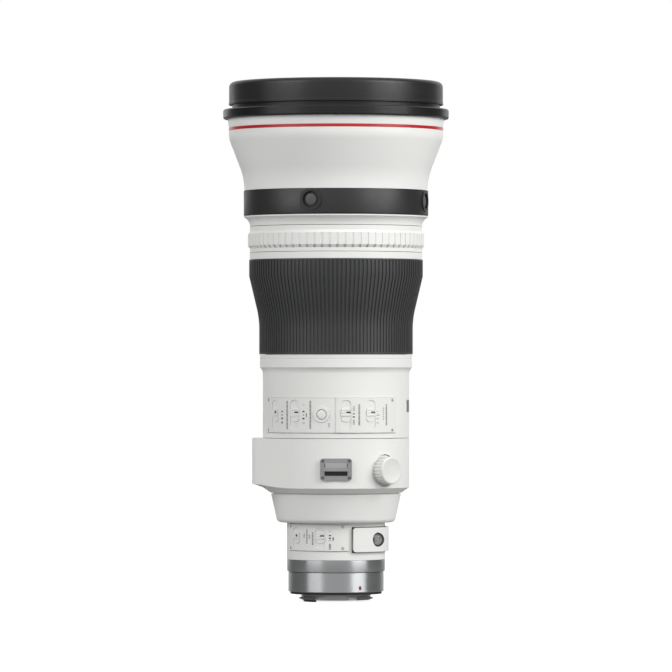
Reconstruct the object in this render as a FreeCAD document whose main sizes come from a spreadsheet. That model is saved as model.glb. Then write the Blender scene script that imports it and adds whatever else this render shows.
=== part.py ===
import FreeCAD, Part
import math
import os
import re
import Sketcher

# A 400 mm telephoto lens, front up, in millimetres and degrees.
# The lens axis is +Z and the origin is the centre of the camera flange's face.
# Azimuth 0 faces -Y, where the switch panels are, and grows towards +X.
# The foot seat of the tripod collar faces -X, the filter drawer pulls out towards +X.

SIZES = {
    # Fits that the whole lens uses
    "seat_gap": 0.05,
    "running_gap": 0.1,
    "turn_gap": 0.3,
    "cut_over": 1.0,
    # Bayonet
    "flange_width": 6.6,
    "flange_thick": 2.0,
    "throat_radius": 23.6,
    "bayonet_wall": 1.4,
    "bayonet_depth": 5.0,
    "lug_proud": 1.9,
    "lug_thick": 1.4,
    "lug_drop": 2.9,
    "lug_half_angle": 21,
    "lug_count": 3,
    "lock_pin_radius": 1.5,
    "lock_pin_azimuth": 100,
    "bayonet_screw_radius": 1.0,
    "bayonet_screw_length": 7.0,
    "bayonet_screw_head": 1.9,
    "bayonet_screw_sink": 1.2,
    "bayonet_screw_count": 4,
    "bayonet_screw_azimuth": 45,
    # Rubber seal round the bayonet
    "seal_width": 1.3,
    "seal_proud": 0.7,
    # Contact block and its pins
    "block_width": 3.2,
    "block_drop": 6.3,
    "block_azimuth": -72,
    "block_half_angle": 28,
    "pin_radius": 0.5,
    "pin_length": 2.2,
    "pin_sink": 0.05,
    "pin_pitch_angle": 4.4,
    "pin_count": 12,
    # Two silver rings
    "mount_lip": 0.9,
    "lower_ring_rim": 1.41,
    "lower_ring_height": 14.1,
    "mount_seat_height": 8.6,
    "mount_seat_room": 1.6,
    "mount_ring_wall": 3.4,
    "ring_groove_height": 0.5,
    "ring_groove_depth": 1.0,
    "upper_ring_step": 0.89,
    "upper_ring_height": 8.5,
    "ring_bevel": 0.4,
    # Rear barrel
    "rear_barrel_step": 0.1,
    "rear_barrel_height": 26.8,
    "rear_barrel_wall": 2.2,
    "rear_flange_width": 4.4,
    "rear_flange_thick": 1.6,
    "joint_line": 0.2,
    # Drop-in filter drawer
    "filter_step": 14.8,
    "filter_slot_height": 11.0,
    "filter_web_thick": 1.5,
    "filter_web_width": 8.65,
    "drawer_rim": 1.8,
    "drawer_gap": 0.2,
    "drawer_ledge": 2.0,
    "glass_thick": 2.5,
    "glass_sink": 4.0,
    "cap_thick": 2.5,
    "cap_height": 17.4,
    "cap_half_angle": 70.5,
    "cap_corner": 2.0,
    "drawer_button_azimuth": 22.6,
    "drawer_button_offset": 19.0,
    "drawer_button_radius": 3.8,
    "drawer_button_sink": 1.3667,
    "drawer_button_length": 3.4,
    "drawer_button_travel": 1.5,
    "drawer_well_room": 0.8,
    "drawer_stem_radius": 1.5,
    "drawer_stem_length": 4.8,
    # Rear cone
    "cone_height": 21.1,
    "cone_top_step": 0.46,
    "cone_foot_step": 7.65,
    "cone_corner": 2.4,
    "cone_wall": 2.3,
    "cone_ledge": 4.9,
    "cone_ledge_height": 3.0,
    "cone_ledge_bevel": 1.0,
    "cone_wall_lean": 0.6,
    "cone_floor_bevel": 1.0,
    "cone_floor_step": 3.45,
    # Tripod collar
    "collar_height": 39.2,
    "collar_thick": 7.06,
    "collar_wall": 4.2,
    "collar_land": 6.0,
    "collar_bevel_width": 5.4,
    "collar_bevel_height": 3.7,
    "foot_seat_rise": 7.44,
    "foot_seat_half_width": 21.0,
    "foot_seat_bevel_height": 2.6,
    "foot_seat_corner": 8.0,
    "foot_hole_radius": 2.1,
    "foot_hole_depth": 8.0,
    "foot_hole_inset": 5.0,
    "foot_hole_half_height": 10.0,
    "foot_hole_step": 22.8,
    # Strap bars
    "lug_plate_width": 22.6,
    "lug_plate_height": 15.7,
    "lug_plate_corner": 2.0,
    "lug_plate_thick": 3.4,
    "lug_plate_proud": 1.04,
    "lug_step": 17.3,
    "lug_frame_side": 2.6,
    "lug_frame_end": 3.35,
    "lug_bar_radius": 1.3,
    "lug_bar_corner": 0.78,
    "lug_bar_proud": 0.6,
    "lug_post_width": 1.8,
    "lug_screw_radius": 0.9,
    "lug_screw_inset": 1.9,
    "lug_screw_bite": 1.0,
    # Collar clamp knob
    "knob_azimuth": 41.5,
    "knob_step": 16.5,
    "knob_radius": 9.9,
    "knob_length": 11.0,
    "knob_foot_rim": 1.3,
    "knob_foot_thick": 1.8,
    "knob_spot_sink": 3.26,
    "knob_screw_radius": 3.0,
    "knob_boss_radius": 6.5,
    "knob_flute_radius": 0.8,
    "knob_flute_count": 24,
    "knob_bevel": 0.9,
    # Main barrel
    "body_height": 46.0,
    "body_radius": 52.76,
    "body_wall": 3.4,
    "body_floor": 2.8,
    "bearing_wall": 2.8,
    "shoulder_rise": 4.6,
    "shoulder_height": 9.2,
    "shoulder_step": 0.5,
    "shoulder_line_height": 3.2,
    "tube_seat_depth": 9.5,
    # Switch panels
    "panel_low_step": 4.0,
    "panel_height": 24.9,
    "panel_sink": 1.16,
    "panel_left_azimuth": -69,
    "panel_right_azimuth": 53.5,
    "panel_joint_angle": 0.1,
    "left_panel_proud": 0.4,
    "right_panel_proud": 0.8,
    "panel_corner": 1.2,
    "distance_switch_azimuth": -55,
    "mode_switch_azimuth": -33.7,
    "stabiliser_switch_azimuth": 7.7,
    "stabiliser_mode_switch_azimuth": 27.6,
    "left_screw_azimuth": -65.5,
    "right_screw_azimuth": 48.8,
    "window_width": 7.5,
    "window_low_step": 1.8,
    "window_high_step": 1.6,
    "slider_gap": 0.2,
    "slider_height": 10.2,
    "slider_end_gap": 1.0,
    "slider_travel": 5.0,
    "slider_proud": 0.35,
    "slider_groove_width": 0.5,
    "slider_groove_depth": 0.4,
    "set_button_azimuth": -11.1,
    "set_button_step": 13.0,
    "set_button_radius": 3.3,
    "set_button_room": 0.4,
    "set_boss_rim": 1.7,
    "set_boss_proud": 0.7,
    "set_button_travel": 0.6,
    "panel_screw_radius": 0.9,
    "panel_screw_length": 1.4,
    "panel_screw_inset": 1.7,
    # Security slot
    "lock_slot_azimuth": 79,
    "lock_slot_step": 22.8,
    "lock_plate_width": 9.0,
    "lock_plate_height": 8.6,
    "lock_plate_thick": 1.9,
    "lock_slot_width": 3.0,
    "lock_slot_margin": 0.8,
    "lock_slot_floor": 0.6,
    # Rear switch panel
    "rear_panel_step": 7.0,
    "rear_panel_height": 19.0,
    "rear_panel_left_azimuth": -69.4,
    "rear_panel_right_azimuth": 14.5,
    "rear_panel_sink": 0.95,
    "rear_panel_proud": 0.8,
    "focus_mode_switch_azimuth": -51.7,
    "ring_switch_azimuth": -18.2,
    "rear_left_screw_azimuth": -64,
    "rear_right_screw_azimuth": 7.6,
    "rear_window_width": 7.6,
    "rear_window_low_step": 1.7,
    "rear_window_high_step": 2.5,
    "rear_slider_height": 8.4,
    "rear_slider_end_gap": 0.4,
    "rear_slider_travel": 3.2,
    # Focus ring with its rubber grip
    "grip_height": 68.1,
    "grip_foot_step": 2.62,
    "grip_rise": 7.25,
    "grip_thick": 1.6,
    "grip_foot_length": 18.0,
    "grip_bend_length": 14.5,
    "grip_bend_rise": 1.65,
    "grip_top_length": 12.0,
    "grip_end_land": 1.2,
    "grip_groove_depth": 0.65,
    "grip_groove_angle": 1.4,
    "grip_groove_count": 32,
    "sleeve_wall": 1.4,
    "lip_height": 4.9,
    "lip_step": 0.43,
    "lip_width": 2.6,
    # Ribbed control ring
    "preset_height": 18.6,
    "preset_step": 0.1,
    "rib_proud": 1.4,
    "rib_low_step": 2.7,
    "rib_length": 12.5,
    "rib_slot_width": 1.0,
    "rib_count": 72,
    # Tube that the two rings turn on
    "tube_room": 1.9,
    "tube_wall": 2.5,
    "tube_land_length": 8.0,
    "tube_spigot": 4.0,
    # Front barrel
    "neck_height": 7.3,
    "neck_sweep_height": 6.3,
    "neck_ledge": 0.6,
    "band_height": 18.4,
    "band_rise": 4.45,
    "band_thick": 2.5,
    "band_seat_lip": 0.25,
    "flare_height": 51.6,
    "flare_foot_step": 0.45,
    "flare_rise": 11.2,
    "flare_sweep": 46.8,
    "flare_angle": 20,
    "flare_shoulder_sweep": 16.0,
    "flare_top_length": 10.8,
    "flare_inner_step": 1.2,
    "flare_inner_drop": 3.0,
    "sweep_inner_step": 0.6,
    "sweep_inner_foot": 1.0,
    "barrel_wall": 3.0,
    "front_seat_thick": 3.0,
    "trim_step": 7.1,
    "trim_height": 1.4,
    "trim_depth": 0.7,
    "trim_proud": 0.05,
    "barrel_lip": 0.5,
    "barrel_lip_length": 2.0,
    # Buttons on the band
    "band_button_count": 4,
    "band_button_azimuth": -15.6,
    "band_button_margin": 0.3,
    "band_button_radius": 4.6,
    "band_button_foot_rim": 0.9,
    "band_button_foot_thick": 0.6,
    "band_button_travel": 0.8,
    "band_button_proud": 0.2,
    "band_well_room": 0.3,
    "band_surround_width": 1.9,
    "band_surround_proud": 0.5,
    # Hood flange and front ring
    "hood_flange_height": 6.9,
    "hood_flange_width": 6.5,
    "hood_flange_bevel": 0.8,
    "front_neck_step": 2.4,
    "front_neck_wall": 1.5,
    "clamp_groove_height": 3.2,
    "rim_height": 16.6,
    "rim_step": 2.23,
    "rim_lip": 0.2,
    "rim_lip_height": 1.8,
    "rim_round": 3.8,
    "rim_wall": 2.3,
    "rim_bore_drop": 0.5,
    # Front element and its retaining ring
    "front_glass_room": 2.1,
    "front_glass_edge": 10.0,
    "front_glass_drop": 4.2,
    "front_glass_bulge": 11.9,
    "front_glass_hollow": 2.0,
    "front_glass_ledge": 2.3,
    "retainer_height": 3.8,
    "retainer_lip": 1.5,
    "retainer_lip_step": 1.0,
    # Middle group
    "middle_cell_drop": 24.0,
    "middle_cell_height": 22.0,
    "middle_cell_wall": 6.0,
    "middle_lower_step": 2.0,
    "middle_lower_edge": 5.0,
    "middle_lower_hollow": 1.2,
    "middle_lower_front_hollow": 1.8,
    "middle_upper_step": 3.0,
    "middle_upper_edge": 6.0,
    "middle_upper_back_bulge": 1.5,
    "middle_upper_front_bulge": 4.0,
    # Ring motor, cam ring and focusing cell
    "motor_height": 4.0,
    "motor_width": 5.4,
    "rail_width": 5.0,
    "rail_depth": 3.5,
    "rail_gap": 0.3,
    "rail_bite": 1.0,
    "cam_wall": 3.0,
    "cam_foot_gap": 1.0,
    "cam_angle": 60,
    "focus_travel": 14.0,
    "follower_radius": 1.5,
    "follower_count": 3,
    "cam_slot_gap": 0.2,
    "cam_slot_end_angle": 3.2,
    "cam_slot_widening": 1.04,
    "focus_cell_height": 12.0,
    "focus_cell_rim": 2.0,
    "focus_cell_web": 2.5,
    "focus_cell_hub": 3.0,
    "focus_glass_radius": 33.0,
    "focus_glass_edge": 6.5,
    "focus_glass_hollow": 1.6,
    "focus_glass_bulge": 2.2,
    "focus_cell_start": 3.0,
    # Iris
    "iris_height": 8.5,
    "iris_bore": 27.0,
    "iris_plate": 2.3,
    "iris_wall": 3.3,
    "blade_count": 9,
    "blade_thick": 0.25,
    "blade_pitch": 0.3,
    "blade_half_angle": 26,
    "blade_room": 1.0,
    # Stabiliser
    "stabiliser_step": 12.1,
    "stabiliser_height": 20.0,
    "stabiliser_wall": 3.5,
    "stabiliser_plate": 2.0,
    "stabiliser_bore": 24.0,
    "stabiliser_room": 3.0,
    "carriage_thick": 3.0,
    "carriage_width": 11.25,
    "stabiliser_cell_wall": 6.0,
    "stabiliser_cell_height": 8.0,
    "stabiliser_cell_step": 3.0,
    "stabiliser_glass_low_step": 2.0,
    "stabiliser_glass_high_step": 1.5,
    "stabiliser_glass_hollow": 1.2,
    "stabiliser_glass_front_hollow": 0.8,
    # Rear cell
    "rear_cell_radius": 26.0,
    "rear_cell_wall": 2.4,
    "rear_cell_length": 15.5,
    "rear_cell_flange": 2.5,
    "rear_glass_edge": 5.0,
    "rear_glass_step": 3.0,
    "rear_lower_back_bulge": 0.8,
    "rear_lower_front_bulge": 1.2,
    "rear_upper_hollow": 0.8,
    "rear_upper_bulge": 1.6,
    # Ring-shaped circuit board
    "board_thick": 1.6,
    "board_step": 1.0,
    "board_room": 1.2,
}

# Heights along the axis and the radii that pieces share, from the sizes above
PLACES = {
    "lower_ring_top": "mount_lip + lower_ring_height",
    "upper_ring_low": "lower_ring_top + ring_groove_height",
    "upper_ring_top": "upper_ring_low + upper_ring_height",
    "rear_barrel_top": "upper_ring_top + rear_barrel_height",
    "cone_top": "rear_barrel_top + cone_height",
    "collar_low": "cone_top + turn_gap",
    "collar_top": "collar_low + collar_height",
    "body_low": "collar_top + turn_gap",
    "shoulder_low": "body_low + body_height",
    "shoulder_high": "shoulder_low + shoulder_rise",
    "body_top": "shoulder_high + shoulder_height",
    "grip_low": "body_top + turn_gap",
    "grip_top": "grip_low + grip_height",
    "focus_ring_top": "grip_top + lip_height",
    "preset_low": "focus_ring_top + turn_gap",
    "preset_top": "preset_low + preset_height",
    "neck_low": "preset_top + turn_gap",
    "band_low": "neck_low + neck_height",
    "band_top": "band_low + band_height",
    "hood_flange_low": "band_top + flare_height",
    "hood_flange_top": "hood_flange_low + hood_flange_height",
    "rim_low": "hood_flange_top + clamp_groove_height",
    "rim_top": "rim_low + rim_height",
    "bayonet_radius": "throat_radius + bayonet_wall",
    "flange_radius": "bayonet_radius + flange_width",
    "screw_circle": "(bayonet_radius + flange_radius) / 2",
    "seal_inner": "flange_radius + seat_gap",
    "seal_outer": "seal_inner + seal_width",
    "lower_ring_radius": "seal_outer + lower_ring_rim",
    "upper_ring_radius": "lower_ring_radius + upper_ring_step",
    "rear_barrel_radius": "upper_ring_radius + rear_barrel_step",
    "mount_seat_bore": "bayonet_radius + mount_seat_room",
    "mount_ring_bore": "lower_ring_radius - mount_ring_wall",
    "block_outer": "throat_radius - running_gap",
    "block_inner": "block_outer - block_width",
    "pin_circle": "block_outer - block_width / 2",
    "rear_barrel_bore": "rear_barrel_radius - rear_barrel_wall",
    "filter_height": "upper_ring_top + filter_step",
    "filter_web_bore": "rear_barrel_bore - filter_web_width",
    "glass_radius": "filter_web_bore",
    "drawer_half_width": "glass_radius + drawer_rim",
    "drawer_bore": "glass_radius - drawer_ledge",
    "slot_low": "filter_height - filter_slot_height / 2",
    "slot_high": "filter_height + filter_slot_height / 2",
    "drawer_low": "slot_low + drawer_gap",
    "drawer_high": "slot_high - drawer_gap",
    "cap_inner": "rear_barrel_radius + drawer_gap",
    "cap_outer": "cap_inner + cap_thick",
    "cap_low": "filter_height - cap_height / 2",
    "cap_high": "filter_height + cap_height / 2",
    "drawer_button_face": "sqrt(cap_outer ^ 2 - drawer_button_offset ^ 2) - drawer_button_sink",
    "well_floor": "drawer_button_face - drawer_button_length - drawer_button_travel - turn_gap",
    "cone_top_radius": "collar_radius - collar_bevel_width - cone_top_step",
    "cone_foot_radius": "rear_barrel_radius + cone_foot_step",
    "cone_inner_top": "cone_top_radius - cone_ledge",
    "cone_opening": "rear_barrel_radius - rear_flange_width - cone_floor_step",
    "board_outer": "cone_foot_radius - cone_wall - cone_floor_bevel - board_room",
    "collar_radius": "body_radius",
    "collar_bore": "collar_radius - collar_thick",
    "foot_seat_distance": "collar_radius + foot_seat_rise",
    "foot_hole_half_width": "foot_seat_half_width - foot_hole_inset",
    "foot_hole_height": "collar_low + foot_hole_step",
    "lug_plate_face": "collar_radius + lug_plate_proud",
    "lug_height": "collar_low + lug_step",
    "lug_window_width": "lug_plate_width - 2 * lug_frame_side",
    "lug_window_height": "lug_plate_height - 2 * lug_frame_end",
    "knob_height": "collar_low + knob_step",
    "knob_spot_distance": "collar_radius - knob_spot_sink",
    "knob_tip": "knob_spot_distance + knob_length",
    "knob_foot_radius": "knob_radius + knob_foot_rim",
    "bearing_radius": "collar_bore - running_gap",
    "bearing_bore": "bearing_radius - bearing_wall",
    "body_bore": "body_radius - body_wall",
    "body_floor_top": "body_low + body_floor",
    "grip_foot_radius": "body_radius + grip_foot_step",
    "grip_top_radius": "grip_foot_radius + grip_rise",
    "lip_radius": "grip_top_radius - lip_step",
    "preset_radius": "lip_radius - preset_step",
    "neck_radius": "preset_radius",
    "band_radius": "neck_radius + band_rise",
    "flare_foot_radius": "band_radius - flare_foot_step",
    "flare_top_radius": "flare_foot_radius + flare_rise",
    "front_neck_radius": "flare_top_radius - front_neck_step",
    "hood_flange_radius": "front_neck_radius + hood_flange_width",
    "rim_radius": "front_neck_radius + rim_step",
    "rim_bore": "front_neck_radius - rim_wall",
    "front_glass_radius": "front_neck_radius - front_neck_wall - front_glass_room",
    "sleeve_foot_bore": "grip_foot_radius - grip_thick - sleeve_wall",
    "sleeve_top_bore": "lip_radius - lip_width",
    "tube_foot_radius": "sleeve_foot_bore - tube_room",
    "tube_top_radius": "sleeve_top_bore - running_gap",
    "tube_low": "body_top - tube_seat_depth",
    "tube_top": "neck_low + tube_spigot",
    "shoulder_radius": "grip_foot_radius - shoulder_step",
    "panel_low": "body_low + panel_low_step",
    "panel_high": "panel_low + panel_height",
    "panel_floor": "body_radius - panel_sink",
    "window_low": "panel_low + window_low_step",
    "window_height": "panel_height - window_low_step - window_high_step",
    "slider_low": "window_low + slider_end_gap + slider_travel",
    "set_button_height": "panel_low + set_button_step",
    "set_hole_radius": "set_button_radius + set_button_room",
    "set_boss_radius": "set_hole_radius + set_boss_rim",
    "lock_slot_height": "lock_plate_height - 2 * lock_slot_margin",
    "rear_panel_low": "upper_ring_top + rear_panel_step",
    "rear_panel_high": "rear_panel_low + rear_panel_height",
    "rear_panel_floor": "rear_barrel_radius - rear_panel_sink",
    "rear_window_low": "rear_panel_low + rear_window_low_step",
    "rear_window_height": "rear_panel_height - rear_window_low_step - rear_window_high_step",
    "rear_slider_low": "rear_window_low + rear_slider_end_gap + rear_slider_travel",
    "band_floor": "band_radius - band_thick",
    "band_button_foot": "band_button_radius + band_button_foot_rim",
    "band_well_radius": "band_button_foot + band_well_room",
    "band_surround_radius": "band_well_radius + band_surround_width",
    "band_button_height": "band_top - band_surround_radius - band_button_margin",
    "button_foot_low": "band_floor + seat_gap + band_button_travel + running_gap",
    "front_seat": "hood_flange_top - front_glass_drop - front_glass_edge",
    "front_glass_top": "hood_flange_top - front_glass_drop",
    "motor_low": "tube_low - motor_height",
    "iris_top": "body_floor_top + iris_height",
    "cam_outer": "body_bore - running_gap",
    "cam_inner": "cam_outer - cam_wall",
    "cam_top": "motor_low - turn_gap",
    "cam_low": "iris_top + cam_foot_gap",
    "cell_low": "iris_top + focus_cell_start",
    "cell_high": "cell_low + focus_cell_height",
    "cell_outer": "cam_inner - running_gap",
    "follower_height": "(cell_low + cell_high) / 2",
    "stabiliser_low": "cone_top + stabiliser_step",
    "stabiliser_outer": "bearing_bore - seat_gap",
    "stabiliser_inner": "stabiliser_outer - stabiliser_wall",
    "carriage_low": "stabiliser_low + stabiliser_plate + turn_gap",
    "carriage_top": "carriage_low + carriage_thick",
    "stabiliser_cell_low": "carriage_top + turn_gap",
    "rear_cell_low": "cone_top - rear_cell_length",
    "rear_cell_bore": "rear_cell_radius - rear_cell_wall",
    "lug_floor": "lug_plate_face - lug_plate_thick",
}

FUNCTIONS = ("sin", "cos", "sqrt", "abs", "placement", "vector", "rotation")

doc = FreeCAD.newDocument("Telephoto_lens")
sheet = doc.addObject("Spreadsheet::Sheet", "Sizes")
for row, (size_name, size) in enumerate(SIZES.items(), start=1):
    sheet.set(f"A{row}", size_name)
    sheet.set(f"B{row}", str(size))
    sheet.setAlias(f"B{row}", size_name)
doc.recompute()
sub_parts = []


def spell(words):
    """A size in words, spelled out as cells of the sheet."""
    def one_word(found):
        word = found.group(0)
        if word in FUNCTIONS:
            return word
        if word in PLACES:
            return "(" + spell(PLACES[word]) + ")"
        return "Sizes." + word
    return re.sub(r"[a-z][a-z_]*", one_word, str(words))


def value(words):
    """The number that a size in words comes to."""
    return float(sheet.evalExpression(spell(words)))


def bind(piece, prop, words):
    piece.setExpression(prop, spell(words))


def keep(piece, name):
    """Names a finished sub-part."""
    piece.Label = name
    sub_parts.append(piece)
    return piece


def origin_plane(body, role):
    return [plane for plane in body.Origin.OriginFeatures if plane.Role == role][0]


def arc_between(start, end, radius, turn):
    """The arc of a radius between two points, turning left for +1 and right for -1."""
    chord = math.dist(start, end)
    lift = turn * math.sqrt(max(radius ** 2 - (chord / 2) ** 2, 0.0))
    middle = [(a + b) / 2 for a, b in zip(start, end)]
    side = (-(end[1] - start[1]) / chord, (end[0] - start[0]) / chord)
    centre = FreeCAD.Vector(middle[0] + lift * side[0], middle[1] + lift * side[1], 0)
    first, last = (start, end) if turn > 0 else (end, start)
    angles = [math.atan2(point[1] - centre.y, point[0] - centre.x) for point in (first, last)]
    if angles[1] < angles[0]:
        angles[1] += 2 * math.pi
    circle = Part.Circle(centre, FreeCAD.Vector(0, 0, 1), radius)
    return Part.ArcOfCircle(circle, angles[0], angles[1])


def draw_outline(sketch, outline):
    """Draws a closed outline of points (across, up) or arcs (across, up, radius, turn), all bound."""
    corners = [(value(point[0]), value(point[1])) for point in outline]
    edges = []
    for i, point in enumerate(outline):
        start, end = corners[i - 1], corners[i]
        if len(point) == 2:
            line = Part.LineSegment(FreeCAD.Vector(*start, 0), FreeCAD.Vector(*end, 0))
            edges.append((sketch.addGeometry(line), 1, 2))
        else:
            radius, turn = point[2], point[3]
            edge = sketch.addGeometry(arc_between(start, end, value(radius), turn))
            size = sketch.addConstraint(Sketcher.Constraint("Radius", edge, value(radius)))
            bind(sketch, f"Constraints[{size}]", radius)
            edges.append((edge, 1, 2) if turn > 0 else (edge, 2, 1))
    for i, (edge, first, last) in enumerate(edges):
        after = edges[(i + 1) % len(edges)]
        sketch.addConstraint(Sketcher.Constraint("Coincident", edge, last, after[0], after[1]))
        for axis, words, number in zip("XY", outline[i][:2], corners[i]):
            size = sketch.addConstraint(
                Sketcher.Constraint(f"Distance{axis}", -1, 1, edge, last, number)
            )
            bind(sketch, f"Constraints[{size}]", words)


def new_sketch(body, name, role, outline, lift=None):
    sketch = body.newObject("Sketcher::SketchObject", name)
    sketch.AttachmentSupport = [(origin_plane(body, role), "")]
    sketch.MapMode = "FlatFace"
    if lift is not None:
        bind(sketch, "AttachmentOffset", f"placement(vector(0; 0; {lift}); rotation(0; 0; 0))")
    if outline:
        draw_outline(sketch, outline)
    return sketch


def turned(name, outline):
    """A piece turned on the lens axis from its outline of (radius, height) points."""
    body = doc.addObject("PartDesign::Body", name)
    sketch = new_sketch(body, name + "_outline", "XZ_Plane", outline)
    turn = body.newObject("PartDesign::Revolution", name + "_turn")
    turn.Profile = sketch
    turn.ReferenceAxis = (sketch, ["V_Axis"])
    turn.Angle = 360
    return body


def ring(name, inner, outer, low, high):
    return turned(name, [(inner, low), (outer, low), (outer, high), (inner, high)])


def lens_blank(name, radius, low, high, back_bulge, front_bulge):
    """A glass element with bulging faces: a negative bulge is hollow."""
    def face(across, up, bulge):
        turn = 1 if value(bulge) > 0 else -1
        return (across, up, f"(({radius}) ^ 2 + ({bulge}) ^ 2) / (2 * abs({bulge}))", turn)
    return turned(name, [
        ("0", f"{low} - ({back_bulge})"),
        face(radius, low, back_bulge),
        (radius, high),
        face("0", f"{high} + ({front_bulge})", front_bulge),
    ])


def outward(piece, azimuth, out, height, across="0"):
    """Places a piece whose own +Z is to point away from the lens axis."""
    x = f"({out}) * sin({azimuth}) + ({across}) * cos({azimuth})"
    y = f"-({out}) * cos({azimuth}) + ({across}) * sin({azimuth})"
    bind(piece, "Placement", f"placement(vector({x}; {y}; {height}); rotation({azimuth}; 0; 90))")


def radial_rod(name, radius, start, end, azimuth, height, across="0"):
    """A round rod that points away from the lens axis, from one distance to another."""
    rod = doc.addObject("Part::Cylinder", name)
    bind(rod, "Radius", radius)
    bind(rod, "Height", f"({end}) - ({start})")
    outward(rod, azimuth, start, height, across)
    return rod


def radial_block(name, width, tall, start, end, azimuth, low, across="0"):
    """A square-cornered block that points away from the lens axis, centred across."""
    block = doc.addObject("Part::Box", name)
    bind(block, "Length", width)
    bind(block, "Width", f"({end}) - ({start})")
    bind(block, "Height", tall)
    side = f"(({across}) - ({width}) / 2)"
    x = f"({end}) * sin({azimuth}) + {side} * cos({azimuth})"
    y = f"-({end}) * cos({azimuth}) + {side} * sin({azimuth})"
    bind(block, "Placement", f"placement(vector({x}; {y}; {low}); rotation({azimuth}; 0; 0))")
    return block


def axial_rod(name, radius, low, high, azimuth="0", out="0"):
    rod = doc.addObject("Part::Cylinder", name)
    bind(rod, "Radius", radius)
    bind(rod, "Height", f"({high}) - ({low})")
    spot = f"({out}) * sin({azimuth}); -({out}) * cos({azimuth}); {low}"
    bind(rod, "Placement", f"placement(vector({spot}); rotation(0; 0; 0))")
    return rod


def sector(name, inner, outer, low, high, start, end):
    """A part of a ring, between two azimuths."""
    wedge = doc.addObject("Part::Cylinder", name + "_wedge")
    bind(wedge, "Radius", outer)
    bind(wedge, "Height", f"({high}) - ({low})")
    bind(wedge, "Angle", f"({end}) - ({start})")
    turn = f"placement(vector(0; 0; {low}); rotation(({start}) - 90; 0; 0))"
    bind(wedge, "Placement", turn)
    return cut(name, wedge, axial_rod(name + "_core", inner, low, high))


def fuse(name, *pieces):
    joined = doc.addObject("Part::MultiFuse", name)
    joined.Shapes = list(pieces)
    return joined


def cut(name, base, *tools):
    made = doc.addObject("Part::Cut", name)
    made.Base = base
    made.Tool = tools[0] if len(tools) == 1 else fuse(name + "_tools", *tools)
    return made


def common(name, first, second):
    made = doc.addObject("Part::Common", name)
    made.Base = first
    made.Tool = second
    return made


def group(name, pieces):
    made = doc.addObject("Part::Compound", name)
    made.Links = list(pieces)
    return made


def round_corners(name, base, radius, upright):
    """Rounds the four corner edges that run out through a plate: upright says how they run."""
    doc.recompute()
    rounded = doc.addObject("Part::Fillet", name)
    rounded.Base = base
    size = value(radius)
    edges = []
    for number, edge in enumerate(base.Shape.Edges, start=1):
        if edge.Curve.TypeId == "Part::GeomLine" and upright(edge):
            edges.append((number, size, size))
    rounded.Edges = edges
    return rounded


def points_outward(edge):
    """True for an edge that runs straight away from the lens axis."""
    run = edge.tangentAt(edge.FirstParameter)
    spot = edge.CenterOfMass
    spot.z = 0
    return abs(run.z) < 0.01 and abs(run.dot(spot)) > 0.99 * spot.Length


def points_forward(edge):
    """True for an edge that runs along Y."""
    return abs(edge.tangentAt(edge.FirstParameter).y) > 0.99


# Bayonet: flange, tube and three lugs, with its screw holes and the hole for the camera's lock pin
def make_bayonet():
    flange = turned("bayonet_turned", [
        ("throat_radius", "-bayonet_depth"),
        ("bayonet_radius", "-bayonet_depth"),
        ("bayonet_radius", "0"),
        ("flange_radius", "0"),
        ("flange_radius", "flange_thick"),
        ("throat_radius", "flange_thick"),
    ])
    lugs = []
    for i in range(int(value("lug_count"))):
        middle = f"180 + {i} * 360 / lug_count"
        lugs.append(sector(
            f"bayonet_lug_{i + 1}", "throat_radius + bayonet_wall / 2", "bayonet_radius + lug_proud",
            "-lug_drop - lug_thick", "-lug_drop",
            f"{middle} - lug_half_angle", f"{middle} + lug_half_angle",
        ))
    holes = [axial_rod("lock_pin_hole", "lock_pin_radius", "0", "flange_thick",
                       "lock_pin_azimuth", "screw_circle")]
    for i, azimuth in enumerate(screw_azimuths()):
        holes.append(axial_rod(f"bayonet_hole_{i + 1}", "bayonet_screw_radius + seat_gap",
                               "0", "flange_thick", azimuth, "screw_circle"))
        holes.append(axial_rod(f"bayonet_sink_{i + 1}", "bayonet_screw_head + seat_gap",
                               "0", "bayonet_screw_sink + seat_gap", azimuth, "screw_circle"))
    keep(cut("bayonet_cut", fuse("bayonet_blank", flange, *lugs), *holes), "bayonet")


def screw_azimuths():
    return [f"bayonet_screw_azimuth + {i} * 360 / bayonet_screw_count"
            for i in range(int(value("bayonet_screw_count")))]


# Screws that hold the bayonet, heads just under the flange's face
def make_bayonet_screws():
    screws = []
    for i, azimuth in enumerate(screw_azimuths()):
        shank = axial_rod(f"bayonet_shank_{i + 1}", "bayonet_screw_radius", "seat_gap",
                          "bayonet_screw_length", azimuth, "screw_circle")
        head = axial_rod(f"bayonet_head_{i + 1}", "bayonet_screw_head", "seat_gap",
                         "bayonet_screw_sink", azimuth, "screw_circle")
        screws.append(fuse(f"bayonet_screw_{i + 1}", shank, head))
    keep(group("bayonet_screw_set", screws), "bayonet_screws")


# Rubber seal round the flange
def make_mount_seal():
    keep(ring("seal_turned", "seal_inner", "seal_outer", "-seal_proud", "mount_lip"), "mount_seal")


# Contact block inside the throat, with a row of sprung pins
def make_contacts():
    block = sector("block_blank", "block_inner", "block_outer", "-block_drop", "flange_thick",
                   "block_azimuth - block_half_angle", "block_azimuth + block_half_angle")
    holes, pins = [], []
    count = int(value("pin_count"))
    for i in range(count):
        azimuth = f"block_azimuth + ({i} - (pin_count - 1) / 2) * pin_pitch_angle"
        holes.append(axial_rod(f"pin_hole_{i + 1}", "pin_radius + seat_gap", "-block_drop",
                               "pin_length - block_drop", azimuth, "pin_circle"))
        pins.append(axial_rod(f"contact_pin_{i + 1}", "pin_radius", "pin_sink - block_drop",
                              "pin_length - block_drop", azimuth, "pin_circle"))
    keep(cut("block_cut", block, *holes), "contact_block")
    keep(group("contact_pin_set", pins), "contact_pins")


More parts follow.
